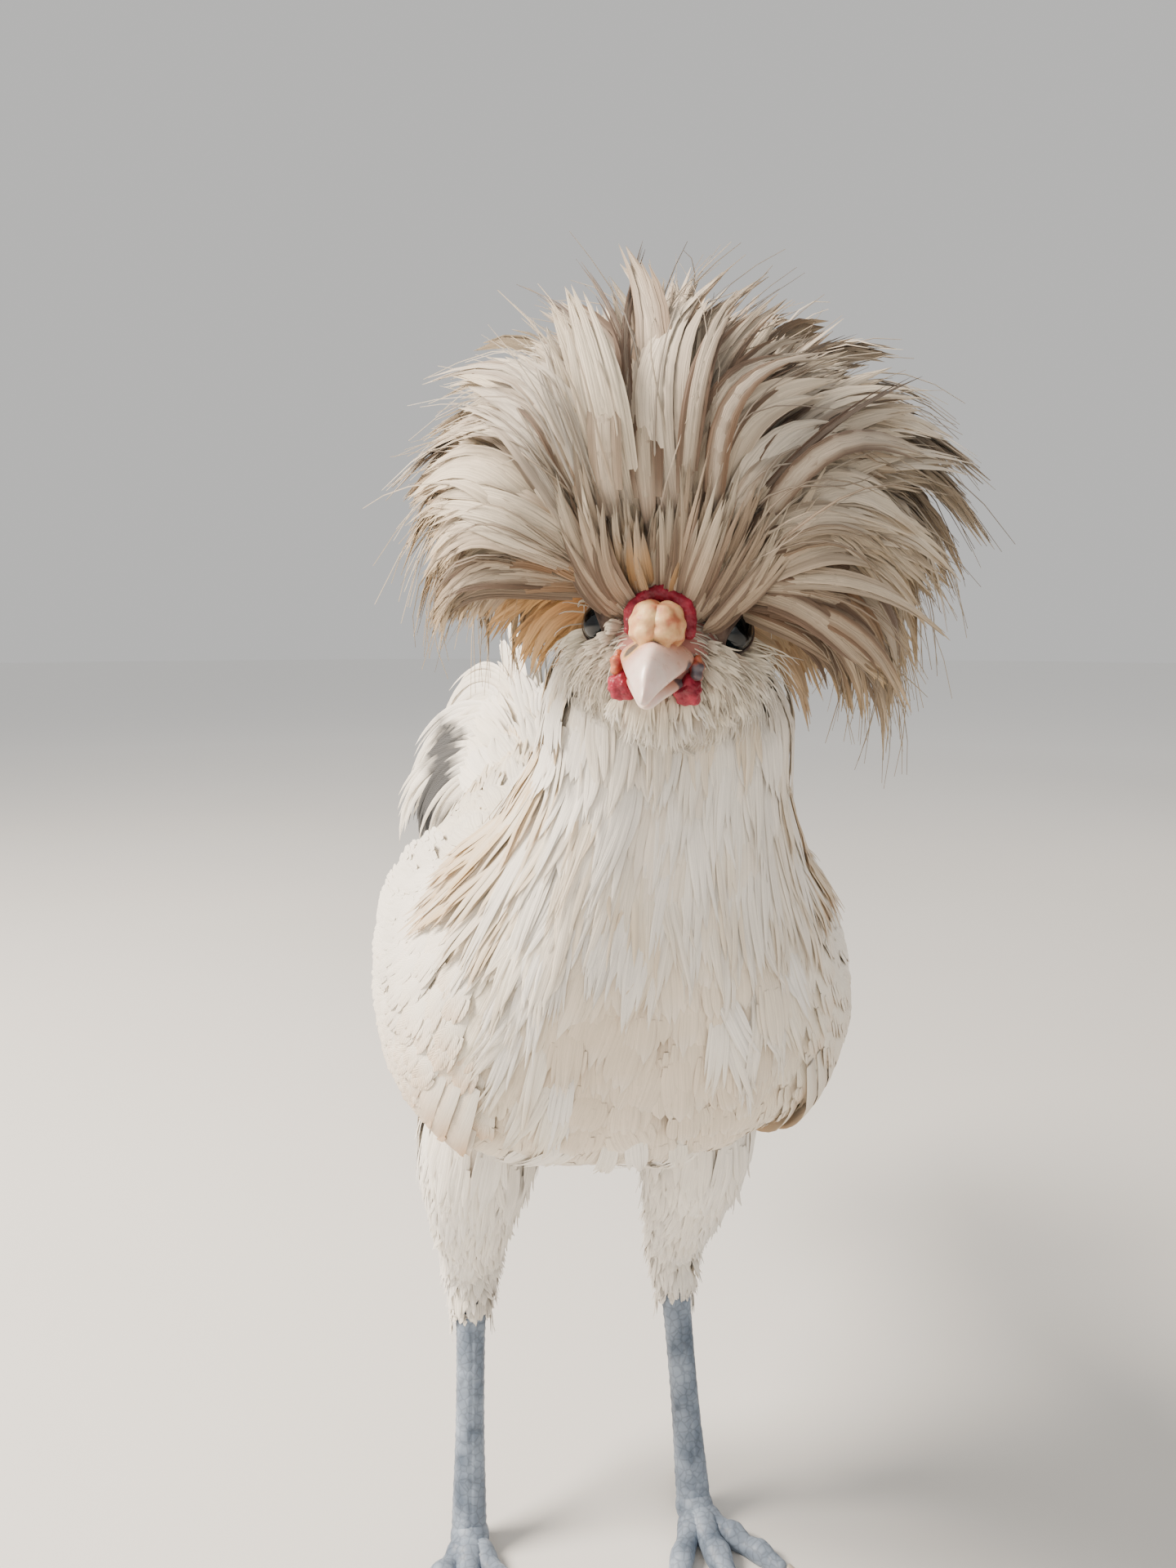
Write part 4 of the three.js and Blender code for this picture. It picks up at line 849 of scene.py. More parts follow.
def makeBrow():
    rng = np.random.default_rng(seed + 1)
    n = brow["count"]
    station = rng.uniform(*brow["stations"], n)
    turn = np.radians(rng.uniform(*brow["angles"], n))
    root = faceSpot(station / (len(face) - 1), turn, -0.8)
    aside = np.cos(turn)
    away = np.abs(aside)
    length = mix(*brow["length"], rng.uniform(0, 1, n) * mix(0.55, 1, smooth(0.1, 0.5, away)))
    length = length * mix(1, 0.6, smooth(0.72, 0.9, away)) * (0.85 + 0.2 * np.cos(9 * (aside + 0.5)))
    tips = np.round((aside + rng.normal(0, 0.1, n)) * brow["points"]) / brow["points"]
    first = root + length[:, None] * 0.42 * unit(xyz(0.9 * aside, -0.75, 0.5))
    rise = unit(xyz(0.75 * mix(aside, tips, 0.7), -0.28 + rng.normal(0, 0.12, n), 0.95))
    end = root + length[:, None] * rise
    t = np.linspace(0, 1, 10)[None, :, None]
    line = arc(root[:, None], first[:, None], end[:, None], t)
    line = line + rng.normal(0, 0.8, (n, 1, 3)) * np.sin(np.pi * t) * (1, 0.4, 0.4)
    normal = unit(xyz(0.5 * aside + rng.normal(0, 0.3, n), -1.0, 0.2))
    normal = np.broadcast_to(normal[:, None], line.shape)
    shade = rng.uniform(0, 1, n)
    warm = smooth(0.1, 0.03, np.abs(away - 0.24)) * (shade < 0.6)

    def paint(t, u, k):
        return painted("beige", ("taupe", 0.25 + 0.65 * shade[k]),
                       ("umber", smooth(0.3, 1, np.abs(u)) * 0.8 * smooth(0, 0.3, t)),
                       ("gold", 0.45 * warm[k] * smooth(0.25, 0.4, t) * smooth(0.8, 0.6, t)),
                       ("cream", 0.6 * smooth(0.5, 1, t) * (1 - shade[k])),
                       ("umber", smooth(0.25, 0, t) * 0.5))

    half = brow["width"] / 2 * rng.uniform(0.55, 1.2, n)
    roots = np.stack([0.5 + 0.3 * aside, 0.93 + 0.02 * station], -1)
    grow("crest_brow", crestFinish, "crest", inHead(line), normal @ headTurn.T, half, browLook, paint,
         roots, rng)


makeBrow()
print("crest done")


# Spines that lie along the coat towards the tail; lifts are heights over it from root to tip.
def coatLines(station, angle, length, lifts, rows, drift, curve=0.0):
    lifts = np.array(np.broadcast_arrays(*lifts))
    ahead, _ = coatSpot(station + 0.1, angle)
    behind, _ = coatSpot(station - 0.1, angle)
    pace = np.linalg.norm(ahead - behind, axis=-1) / 0.2
    t = np.linspace(0, 1, rows)[None]
    reach = station[:, None] - t * (length / pace)[:, None]
    heights = np.stack([np.interp(t[0], np.linspace(0, 1, len(lifts)), row) for row in lifts.T])
    turn = angle[:, None] + drift[:, None] * t
    line, normal = coatSpot(np.clip(reach, 0.02, 11.98), turn, heights)
    _, slope = coatSpot(station[:, None] + 0 * t, turn)
    back = np.cross(slope, unit(ahead - behind)[:, None])
    return line + back * (np.asarray(curve)[..., None] * t * t)[..., None], normal


def coatRoots(part, angles, tries, rng, keep=None):
    station, angle = rng.uniform(*part["stations"], tries), rng.uniform(*angles, tries)
    if keep is not None:
        inside = keep(station, angle)
        station, angle = station[inside], angle[inside]
    pick = evenRoots(coatSpot(station, angle)[0], part["gap"])
    return station[pick], angle[pick], len(pick)


def foldOf(angle):  # 90 on the back, -90 in front or below
    return np.where(angle > 90, 180 - angle, angle)


def coatUv(station, angle):
    return np.stack([(angle + 90) % 360 / 360, station / 12], -1)


# Soft patches of tone over the coat, from 0 to 1.
def tones(spots, rng, scale):
    total = np.zeros(len(spots))
    for _ in range(5):
        way, phase = rng.normal(0, 1 / scale, 3), rng.uniform(0, 6.3)
        total = total + np.sin(spots @ way + phase)
    return np.clip(0.5 + total / 5, 0, 1)


# How far inside the folded wing's outline: 1 at its middle, 0 at the edge.
def inWing(station, angle, size=1.0):
    fold = foldOf((angle + 90) % 360 - 90)
    a = (station - wingForm["middle"]) / (wingForm["long"] * size)
    b = (fold - wingForm["angle"]) / (wingForm["high"] * size)
    return 1 - a * a - b * b


allRound = (-90, 270)
hackle = {"stations": (8.0, 11.6), "gap": 4.3, "width": 6.4,
          "lengths": ([8.0, 9.0, 10.0, 11.6], [33, 44, 40, 25]),
          "top": ([-90, -20, 30, 90], [10.7, 10.8, 11.2, 11.6])}
saddle = {"stations": (1.3, 3.5), "angles": (8, 172), "gap": 6.2, "width": 7.2, "length": 46}
down = {"stations": (1.1, 11.3), "gap": 6.1, "length": 21, "width": 12.5, "breast": 4.6}
tufts = {"count": 14, "each": 5, "stations": (5.2, 8.0), "angles": (-165, -25), "length": (22, 36),
         "width": 4.2}
downLook = feather("rounded", vaneRows=6, vaneEnd=0.9, vaneWide=0.95, thick=0.35, cup=0.16, strips=7,
                   stripRows=5, first=0.34, blunt=0.22, ragged=0.08, gather=0.3, flick=0.4, loft=0.45,
                   stripWide=1.9)
hackleLook = feather("lance")


def belowHackle(station, angle, margin=0.0):
    return station < np.interp(foldOf(angle), *hackle["top"]) - margin


def makeBody():
    rng = np.random.default_rng(seed + 2)
    station, angle, n = coatRoots(down, allRound, 9000, rng,
                                  lambda s, a: (inWing(s, a, 0.8) < 0.25) & belowHackle(s, a, 0.15))
    fold = foldOf(angle)
    front = smooth(-20, -60, fold) * smooth(3.2, 5, station)
    ruffled = (rng.uniform(0, 1, n) > 0.94) & (station > 4.5)
    top = np.where(ruffled, rng.uniform(1.8, 3.4, n), rng.uniform(0.4, 1.3, n))
    length = down["length"] * rng.uniform(0.85, 1.15, n) * mix(1, 1.12, front)
    length = np.minimum(length, 5 + 21 * np.maximum(0.2, station - 0.6))
    lines, normals = coatLines(station, angle, length, (-1.8, 0.6 * top, top, 0.3 * top + 2.4 * ruffled), 8,
                               rng.normal(0, 2.5, n), rng.normal(0, 1.2, n))
    half = down["width"] / 2 * rng.uniform(0.85, 1.15, n) * np.where(ruffled, 0.7, 1) * np.interp(
        station, [9, 10.5], [1, 0.72])
    # The beige that grows towards the underside is painted shade, over the coat's own patches of tone.
    patch, belly = tones(coatSpot(station, angle)[0], rng, 26), smooth(-30, -80, fold)

    def paint(t, u, k):
        return painted("white", ("cream", 0.15 + 0.75 * patch[k]),
                       ("beige", (0.3 + 0.7 * patch[k]) * belly[k] + 0.3 * smooth(0.5, 0.1, t)),
                       ("white", 0.45 * smooth(0.7, 1, t)))

    coat, roots = newCoat(), coatUv(station, angle)
    ahead = station >= down["breast"]
    addFeathers(coat, lines, normals, half, downLook, paint, roots, rng, np.flatnonzero(ahead))
    addTufts(coat, rng)
    addCoat("breast_feathers", coat, coatFinish, "coat")
    grow("back_feathers", coatFinish, "coat", lines, normals, half, downLook, paint, roots, rng,
         np.flatnonzero(~ahead))


def addTufts(coat, rng):  # loose feathers that stand off the breast
    each, n = tufts["each"], tufts["count"] * tufts["each"]
    station, angle = (np.repeat(rng.uniform(*tufts[key], tufts["count"]), each) + rng.normal(0, wide, n)
                      for key, wide in (("stations", 0.1), ("angles", 4)))
    lifts = (-1.0, rng.uniform(0.8, 1.6, n), rng.uniform(1.4, 2.6, n), rng.uniform(1.6, 4.0, n))
    lines, normals = coatLines(station, angle, rng.uniform(*tufts["length"], n), lifts, 9,
                               rng.normal(0, 5, n), rng.normal(0, 2.5, n))
    tone = rng.uniform(0, 0.6, n)

    def paint(t, u, k):
        return painted("white", ("cream", tone[k]), ("straw", 0.5 * tone[k] * smooth(0.5, 1, t)))

    addFeathers(coat, lines, normals, tufts["width"] / 2 * rng.uniform(0.6, 1.3, n), hackleLook, paint,
                coatUv(station, angle), rng)


def makeHackle():
    rng = np.random.default_rng(seed + 3)
    station, angle, n = coatRoots(hackle, allRound, 5000, rng, belowHackle)
    fold = foldOf(angle)
    front = smooth(10, -50, fold)
    length = np.interp(station, *hackle["lengths"]) * rng.uniform(0.85, 1.12, n) * mix(1, 0.72, front)
    high = rng.uniform(1.0, 3.4, n) * mix(1, 0.55, front)
    over = 6 * smooth(50, -6, np.abs(fold - 5)) ** 2 * (1 - front) * smooth(10.4, 8.6, station)
    lifts = (-2.0, 0.6 * high, high + 0.4 * over, mix(0.4, 1, front) * high + over)
    lines, normals = coatLines(station, angle, length, lifts, 10, rng.normal(0, 4, n), rng.normal(0, 1.6, n))
    half = hackle["width"] / 2 * rng.uniform(0.8, 1.2, n) * mix(1, 0.85, front)
    gold = np.clip(0.1 + 0.75 * (1 - front) * smooth(95, 20, fold) + rng.normal(0, 0.25, n), 0, 1)
    left = smooth(60, 0, angle) * smooth(-80, -20, angle)

    def paint(t, u, k):
        return painted("white", ("cream", 0.15 + 0.5 * gold[k]),
                       ("straw", gold[k] * smooth(0.1, 0.5, t) * (0.35 + 0.5 * np.abs(u))),
                       ("gold", gold[k] ** 2 * smooth(0.45, 0.9, t) * (0.25 + 0.4 * left[k])),
                       ("beige", 0.3 * smooth(0.3, 0, t) + 0.15 * left[k]))

    grow("hackle_feathers", hackleFinish, "hackle", lines, normals, half, hackleLook, paint,
         coatUv(station, angle), rng)


def makeSaddle():
    rng = np.random.default_rng(seed + 4)
    station, angle, n = coatRoots(saddle, saddle["angles"], 2500, rng)
    away = (90 - angle) / 82  # 1 on the left side, -1 on the right
    high = rng.uniform(1.8, 4.6, n)
    length = saddle["length"] * rng.uniform(0.8, 1.1, n) * np.clip(0.35 + 0.28 * station, 0.5, 1)
    lines, normals = coatLines(station, angle, length, (-1.8, 0.7 * high, high, high + 1.2), 10,
                               -22 * away + rng.normal(0, 3, n), rng.normal(0, 1.5, n))
    half = saddle["width"] / 2 * rng.uniform(0.8, 1.2, n)
    gold = rng.uniform(0, 0.6, n)

    def paint(t, u, k):
        return painted("white", ("cream", 0.3 + gold[k]),
                       ("straw", gold[k] * smooth(0.3, 0.9, t) * (0.3 + 0.5 * np.abs(u))))

    grow("saddle_feathers", hackleFinish, "hackle", lines, normals, half, hackleLook, paint,
         coatUv(station, angle), rng)


makeBody()
makeHackle()
makeSaddle()
print("body, hackle and saddle done")

# Rows of the closed wing, lowest feather first: the first root and tip, as a station and degrees above the
# middle of the side, and the steps to the next feather's.
wingTiers = [
    {"count": 6, "root": (4.2, -36), "tip": (2.15, -37), "rootStep": 3, "tipStep": (-0.08, 4.4), "width": 9.5,
     "lift": 3.2, "shape": "flight"},
    {"count": 13, "root": (5.3, -47), "tip": (3.5, -51), "rootStep": 5.2, "tipStep": (-0.09, 5.9),
     "width": 11.5, "lift": 4.0, "shape": "flight"},
    {"count": 14, "root": (6.0, -46), "tip": (4.55, -51), "rootStep": 5.6, "tipStep": (-0.02, 6.0),
     "width": 10.5, "lift": 5.0, "shape": "rounded"},
    {"count": 13, "root": (6.4, -42), "tip": (5.2, -47), "rootStep": 6.0, "tipStep": (0, 6.4), "width": 10,
     "lift": 5.6, "shape": "rounded"},
]
wingRoll = 9  # degrees that tuck a feather's upper edge under the next
lesser = {"stations": (5.3, 7.35), "angles": (-52, 44), "gap": 4.5, "length": 17, "width": 8.6}
wingLook = feather("flight", vaneRows=12, vaneEnd=1.0, vaneWide=1.0, thick=0.6, cup=0.1, strips=7,
                   stripRows=6, first=0.45, blunt=0.14, ragged=0.05, gather=0.55, flick=0.35, loft=0.25,
                   stripWide=1.3)


def atSide(angle, side):
    return angle if side > 0 else 180 - angle


def addWingRow(coat, tier, side, rng):
    n = tier["count"]
    i, t = np.arange(n), np.linspace(0, 1, 12)
    rise = tier["root"][1] + tier["rootStep"] * i
    tipStation, tipRise = (start + step * i + rng.normal(0, wide, n)
                           for start, step, wide in zip(tier["tip"], tier["tipStep"], (0.05, 1)))
    close = 1 - 0.75 * (i[:, None] / n) ** 2  # the upper feathers lie close to the back
    swell = np.interp(t, [0, 0.3, 1], [0.5, tier["lift"] - 2, tier["lift"] - 1.6])
    line, normal = coatSpot(mix(tier["root"][0], tipStation[:, None], t),
                            atSide(mix(rise[:, None], tipRise[:, None], t), side),
                            close * (wingForm["under"] + swell))
    roll = math.radians(-side * wingRoll)
    along = unit(np.gradient(line, axis=1))
    normal = unit(normal * math.cos(roll) + np.cross(along, normal) * math.sin(roll))
    low = smooth(10, -45, rise)

    def paint(t, u, k):
        lower = smooth(0.1, 1, u * side)
        brown = low[k] * ((0.15 if side > 0 else 0.5) + 0.35 * lower)
        return painted("white", ("cream", 0.35 + 0.2 * low[k]), ("gold", brown * smooth(0.1, 0.5, t)),
                       ("grey", 0.25 * low[k] * (1 - lower)), ("beige", 0.5 * np.exp(-(u / 0.07) ** 2)))

    look = {**wingLook, "width": tier["shape"]}
    addFeathers(coat, line, normal, tier["width"] / 2 * rng.uniform(0.95, 1.05, n), look, paint,
                coatUv(tier["root"][0] + 0.024 * (i % 3), atSide(rise, side)), rng)


def makeWing(name, side):
    rng = np.random.default_rng(seed + (5 if side > 0 else 6))
    coat = newCoat()
    for tier in wingTiers:
        addWingRow(coat, tier, side, rng)
    station, fold, n = coatRoots(lesser, lesser["angles"], 1500, rng, lambda s, a: inWing(s, a, 1.05) > 0)
    base = wingForm["under"] + 0.8 * wingForm["thick"] * smooth(-0.1, 0.75, inWing(station, fold, 1.08))
    base = base + rng.uniform(-0.3, 0.3, n)
    lines, normals = coatLines(station, atSide(fold, side), lesser["length"] * rng.uniform(0.85, 1.15, n),
                               (base - 2.8, base - 0.6, base + 0.4, base + 0.1), 8, rng.normal(0, 2, n))
    low = smooth(10, -45, fold)

    def paint(t, u, k):
        return painted("white", ("cream", 0.3 + 0.3 * low[k]),
                       ("gold", (0.3 if side > 0 else 0.55) * low[k] * smooth(0.3, 0.8, t)))

    addFeathers(coat, lines, normals, lesser["width"] / 2 * rng.uniform(0.85, 1.15, n), downLook, paint,
                coatUv(station, atSide(fold, side)), rng)
    addCoat(f"wing_{name}_feathers", coat, vaneFinish, "coat", f"wing_{name}")


for name, side in sides:
    makeWing(name, side)
print("wings done")

# The patch is charcoal, on the bird's right: x and z of its two ends and its reach.
tail = {"root": (2.5, 93, 245), "spread": (8, -9, -6), "rows": 18, "patch": ((-31, 247), (-45, 210), 5.6)}
tailFluff = {"count": 70, "stations": (0.35, 1.7), "length": (24, 34), "width": 11, "rows": 10}
tailRidge = {"count": 22, "half": 6, "y": 91, "z": 240, "pitch": (-20, 48), "length": (30, 46)}
# Main feathers, sickles, side sickles, coverts and small coverts: low and high are degrees above the floor,
# splay is how far they stand out to the side and curl how far they bend over.
tailSets = [
    {"count": 8, "low": -8, "high": 40, "length": 86, "width": 19, "splay": (20, 1), "curl": 8,
     "flare": 0, "shape": "flight", "soft": 0},
    {"count": 2, "low": 34, "high": 40, "length": 132, "width": 13, "splay": (14, 7), "curl": 104,
     "flare": 18, "shape": "lance", "soft": 1},
    {"count": 7, "low": 12, "high": 40, "length": 104, "width": 12, "splay": (42, 16), "curl": 112,
     "flare": 14, "shape": "lance", "soft": 1},
    {"count": 16, "low": -4, "high": 46, "length": 72, "width": 12, "splay": (56, 24), "curl": 114,
     "flare": 8, "shape": "plume", "soft": 1},
    {"count": 18, "low": -22, "high": 44, "length": 46, "width": 10, "splay": (60, 26), "curl": 90,
     "flare": 6, "shape": "plume", "soft": 1},
]
tailLook = feather("plume", vaneRows=16, vaneEnd=0.98, vaneWide=0.9, thick=0.5, cup=0.12, strips=8,
                   stripRows=14, first=0.12, blunt=0.14, ragged=0.14, gather=0.8, flick=1.4, loft=1.0)
stiffTail = {"ragged": 0.04, "flick": 0.3, "loft": 0.2, "first": 0.4}


def addTailSet(coat, number, side, rng):
    kind, rows = tailSets[number], tail["rows"]
    n, soft = kind["count"], kind["soft"]
    share, t = (np.arange(n) + 0.5) / n, np.linspace(0, 1, rows)
    rise = mix(kind["low"], kind["high"], share) + rng.normal(0, 1.5, n)
    splay = mix(*kind["splay"], share) + rng.normal(0, 2.5, n) * soft
    length = kind["length"] * rng.uniform(0.9, 1.08, n)
    pitch = np.radians(rise[:, None] - kind["curl"] * t**1.4)
    out = np.radians(splay[:, None] * (0.6 + 0.5 * t) + kind["flare"] * t)
    step = xyz(side * np.sin(out) * np.cos(pitch), np.cos(out) * np.cos(pitch), np.sin(pitch))
    step = step * (length / (rows - 1))[:, None, None]
    root = (tail["root"] + np.outer(1 - share, tail["spread"]) * (1, soft, 1)) * (side, 1, 1)
    line = root[:, None] + np.cumsum(step, axis=1) - step
    half = kind["width"] / 2 * rng.uniform(0.9, 1.1, n)
    tone = rng.uniform(0, 1, n)

    def paint(t, u, k):
        spot = line[k, np.round(np.clip(t, 0, 1) * (rows - 1)).astype(int)][..., [0, 2]]
        upper, lower, reach = (np.array(v, float) for v in tail["patch"])
        along = np.clip((spot - upper) @ (lower - upper) / ((lower - upper) ** 2).sum(), 0, 1)
        far = np.linalg.norm(spot - upper - along[..., None] * (lower - upper), axis=-1)
        dark = 0.95 * smooth(1.2, 0.8, far / reach + 0.3 * tone[k] + 0.15 * u) * soft * (side < 0)
        return painted("white", ("cream", 0.15 + 0.35 * tone[k]), ("beige", 0.35 * smooth(0.3, 0, t)),
                       ("charcoal", dark))

    look = {**tailLook, "width": kind["shape"], **({} if soft else stiffTail)}
    uv = np.stack([0.5 + side * (0.05 + 0.4 * (1 - share)), 0 * share + 0.1 + 0.18 * number], -1)
    addFeathers(coat, line, xyz(side * np.cos(out), -np.sin(out), 0), half, look, paint, uv, rng)


# Fluff round the tail's root, and short coverts along its ridge that close the gap between the halves.
def addTailFluff(coat, rng):
    n, rows = tailFluff["count"], tailFluff["rows"]
    station, angle = rng.uniform(*tailFluff["stations"], n), rng.uniform(*allRound, n)
    root, normal = coatSpot(station, angle, -1.5)
    t = np.linspace(0, 1, rows)[None, :, None]
    way = unit(normal[:, None] * (0.75 - 0.55 * t) + (0, 0.85, 0.05) + rng.normal(0, 0.09, (n, 1, 3)))
    length = rng.uniform(*tailFluff["length"], n)
    line = root[:, None] + np.cumsum(way, axis=1) * (length / rows)[:, None, None]
    normal = unit(normal[:, None] - (normal[:, None] * way).sum(-1, keepdims=True) * way)
    aside = rng.uniform(-1, 1, tailRidge["count"])
    pitch = np.radians(rng.uniform(*tailRidge["pitch"], tailRidge["count"]))
    way = xyz(0.35 * aside, np.cos(pitch), np.sin(pitch))
    root = xyz(tailRidge["half"] * aside, tailRidge["y"], tailRidge["z"] + 6 * np.sin(pitch))
    reach = rng.uniform(*tailRidge["length"], tailRidge["count"])[:, None] * np.linspace(0, 1, rows)
    line = np.concatenate([line, root[:, None] + way[:, None] * reach[..., None]])
    across = unit(xyz(0.5 * aside, -np.sin(pitch), np.cos(pitch)))
    normal = np.concatenate([normal, np.repeat(across[:, None], rows, 1)])
    tone = rng.uniform(0, 1, len(line))
    roots = np.concatenate([coatUv(station, angle), np.stack([0.5 + 0.1 * aside, 0 * aside + 0.97], -1)])
    addFeathers(coat, line, normal, tailFluff["width"] / 2 * rng.uniform(0.8, 1.2, len(line)),
                {**tailLook, "vaneRows": 8, "strips": 7, "stripRows": 8},
                lambda t, u, k: painted("white", ("cream", 0.15 + 0.4 * tone[k])), roots, rng)


def makeTail():
    rng = np.random.default_rng(seed + 7)
    coat = newCoat()
    for _, side in sides:
        for number in range(len(tailSets)):
            addTailSet(coat, number, side, rng)
    addTailFluff(coat, rng)
    addCoat("tail_feathers", coat, vaneFinish, "coat", "tail")


makeTail()
print("tail done")

# limb is the thigh's own length, and end is how much of it the feathers follow before they hang straight.
thighCoat = {"gap": 4.7, "length": 20, "width": 6.6, "tries": 3500, "limb": 105, "end": 1.02}
thighLook = feather("plume", vaneRows=5, vaneEnd=0.9, stripRows=6, ragged=0.25, gather=0.75, flick=1.0)


def makeThigh(name, side):
    rng = np.random.default_rng(seed + (8 if side > 0 else 9))
    table = mirrored(thigh, side)
    tries = thighCoat["tries"]
    share, angle = rng.uniform(0.1, 0.985, tries), rng.uniform(0, 2 * np.pi, tries)
    pick = evenRoots(limbSpot(table, share, angle), thighCoat["gap"] * np.interp(share, [0, 1], [1.25, 0.75]))
    share, angle, n = share[pick], angle[pick], len(pick)
    end = smooth(0.72, 0.98, share)
    length = thighCoat["length"] * np.interp(share, [0, 0.6, 1], [1.35, 1, 0.7]) * rng.uniform(0.85, 1.2, n)
    length = length * mix(1, rng.uniform(0.45, 1.15, n), end)
    fluffed = rng.uniform(0.0, 2.2, n) * (1 - 0.8 * end) * (1 + 1.2 * smooth(0.2, 0.9, np.sin(angle)))
    t = np.linspace(0, 1, 7)[None]
    along = share[:, None] + t * (length / thighCoat["limb"])[:, None]
    reach = np.minimum(along, thighCoat["end"])
    turn = angle[:, None] + rng.normal(0, 0.12, n)[:, None] * t
    high = np.interp(t, [0, 0.5, 1], [-1.8, 0.1, 0.6]) + fluffed[:, None] * t**2 - 2.0 * end[:, None] * t
    line = limbSpot(table, reach, turn, high)
    normal = unit(limbSpot(table, reach, turn, high + 1) - line)
    line[..., 2] -= (along - reach) * thighCoat["limb"]
    # The grey on the inner side of the thigh, strongest towards the roots, is painted shade.
    inner = smooth(-0.2, 0.9, -np.cos(angle) * side)
    tone = rng.uniform(0, 1, n)

    def paint(t, u, k):
        return painted("white", ("cream", 0.15 + 0.3 * tone[k]),
                       ("grey", 0.5 * inner[k] * smooth(0.9, 0.3, t)), ("white", 0.5 * smooth(0.6, 1, t)))

    half = thighCoat["width"] / 2 * np.interp(share, [0, 1], [1.25, 0.65]) * rng.uniform(0.8, 1.2, n)
    grow(f"thigh_{name}_feathers", coatFinish, "coat", line, normal, half, thighLook, paint,
         np.stack([angle / (2 * np.pi), share], -1), rng)


for name, side in sides:
    makeThigh(name, side)
print("thighs done")

whiskers = {"gap": 0.92, "tries": 22000, "length": 7.0, "width": 0.3, "rows": 5, "top": 9,
            "billMiddle": (0, -14, -2.5), "billReach": 7.0}
muffs = {"count": 340, "length": (9, 15), "width": 2.4, "hairs": 2250, "bearing": (-116, 116)}
beard = {"count": 110, "length": (8, 15), "width": 2.2, "half": 7.5, "rows": 9}
ruffLook = feather("lance", vaneRows=6, vaneWide=0.7, thick=0.22, cup=0.15, first=0.08, ragged=0.25,
                   flick=0.6, loft=0.5, stripWide=1.1, stripThick=0.16)


# True for lines that leave the openings of the eyes free.
def pastEyes(line, reach=4.3):
    free = np.ones(len(line), bool)
    for _, side in sides:
        away = line - eyeCentre(side)
        ahead = away @ eyeAim(side)
        beside = np.linalg.norm(away - ahead[..., None] * eyeAim(side), axis=-1)
        free &= ~((ahead > 0) & (beside < reach)).any(1)
    return free


# Fine whiskers that lie away from the bill over the whole face.
def makeWhiskers(rng):
    share, angle = rng.uniform(0.12, 0.98, whiskers["tries"]), rng.uniform(0, 2 * np.pi, whiskers["tries"])
    spot = faceSpot(share, angle)
    eyes = np.array([eyeCentre(side) + (side, 0, 0) for _, side in sides])
    keep = np.flatnonzero((np.linalg.norm(spot[:, None] - eyes, axis=2).min(1) > eye["radius"] + 0.5)
                          & (np.linalg.norm(spot - whiskers["billMiddle"], axis=1) > whiskers["billReach"])
                          & (spot[:, 2] < whiskers["top"]))
    pick = keep[evenRoots(spot[keep], whiskers["gap"])]
    share, angle, spot, n = share[pick], angle[pick], spot[pick], len(pick)
    normal = unit(faceSpot(share, angle, 1.0) - spot + xyz(0, -0.5 * smooth(0.5, 0.1, share), 0))
    away = unit(spot * (1, 0, 1) + (0, 0, 2.5))
    swirl = xyz(away[:, 2], 0, -away[:, 0]) * np.sign(spot[:, :1])
    lie = away * 0.75 + (0, 0.4, 0) + swirl * rng.normal(0.42, 0.2, n)[:, None]
    lie = unit(lie - normal * (lie * normal).sum(1, keepdims=True))
    length = (whiskers["length"] * rng.uniform(0.6, 1.3, n) * mix(0.6, 1.3, share))[:, None, None]
    t = np.linspace(0, 1, whiskers["rows"])[None, :, None]
    stand = rng.uniform(0.2, 0.55, n)[:, None, None]
    line = (spot - normal * 0.6)[:, None] + length * (
        lie[:, None] * t + normal[:, None] * stand * (t - 0.7 * t * t))
    line = line + swirl[:, None] * (t * t * rng.normal(1.4, 0.8, n)[:, None, None])
    short = ~pastEyes(line, 3.3)
    line[short] = mix(line[short, :1], line[short], 0.4)
    free = pastEyes(line, 2.9)
    line, normal, share, angle = line[free], normal[free], share[free], angle[free]
    n = len(line)
    shade = rng.uniform(0, 1, n)

    def paint(t, u, k):
        return painted("whisker", ("cream", shade[k] * 0.9), ("taupe", 0.6 * (shade[k] < 0.3)),
                       ("white", 0.4 * smooth(0.4, 1, t)))

    coat = newCoat()
    half = whiskers["width"] / 2 * rng.uniform(0.7, 1.5, n)
    addHairs(coat, inHead(line), np.repeat(normal[:, None], whiskers["rows"], 1) @ headTurn.T, half, paint,
             np.stack([angle / (2 * np.pi), share], -1), 0.2)
    addCoat("face_whiskers", coat, coatFinish, "coat")


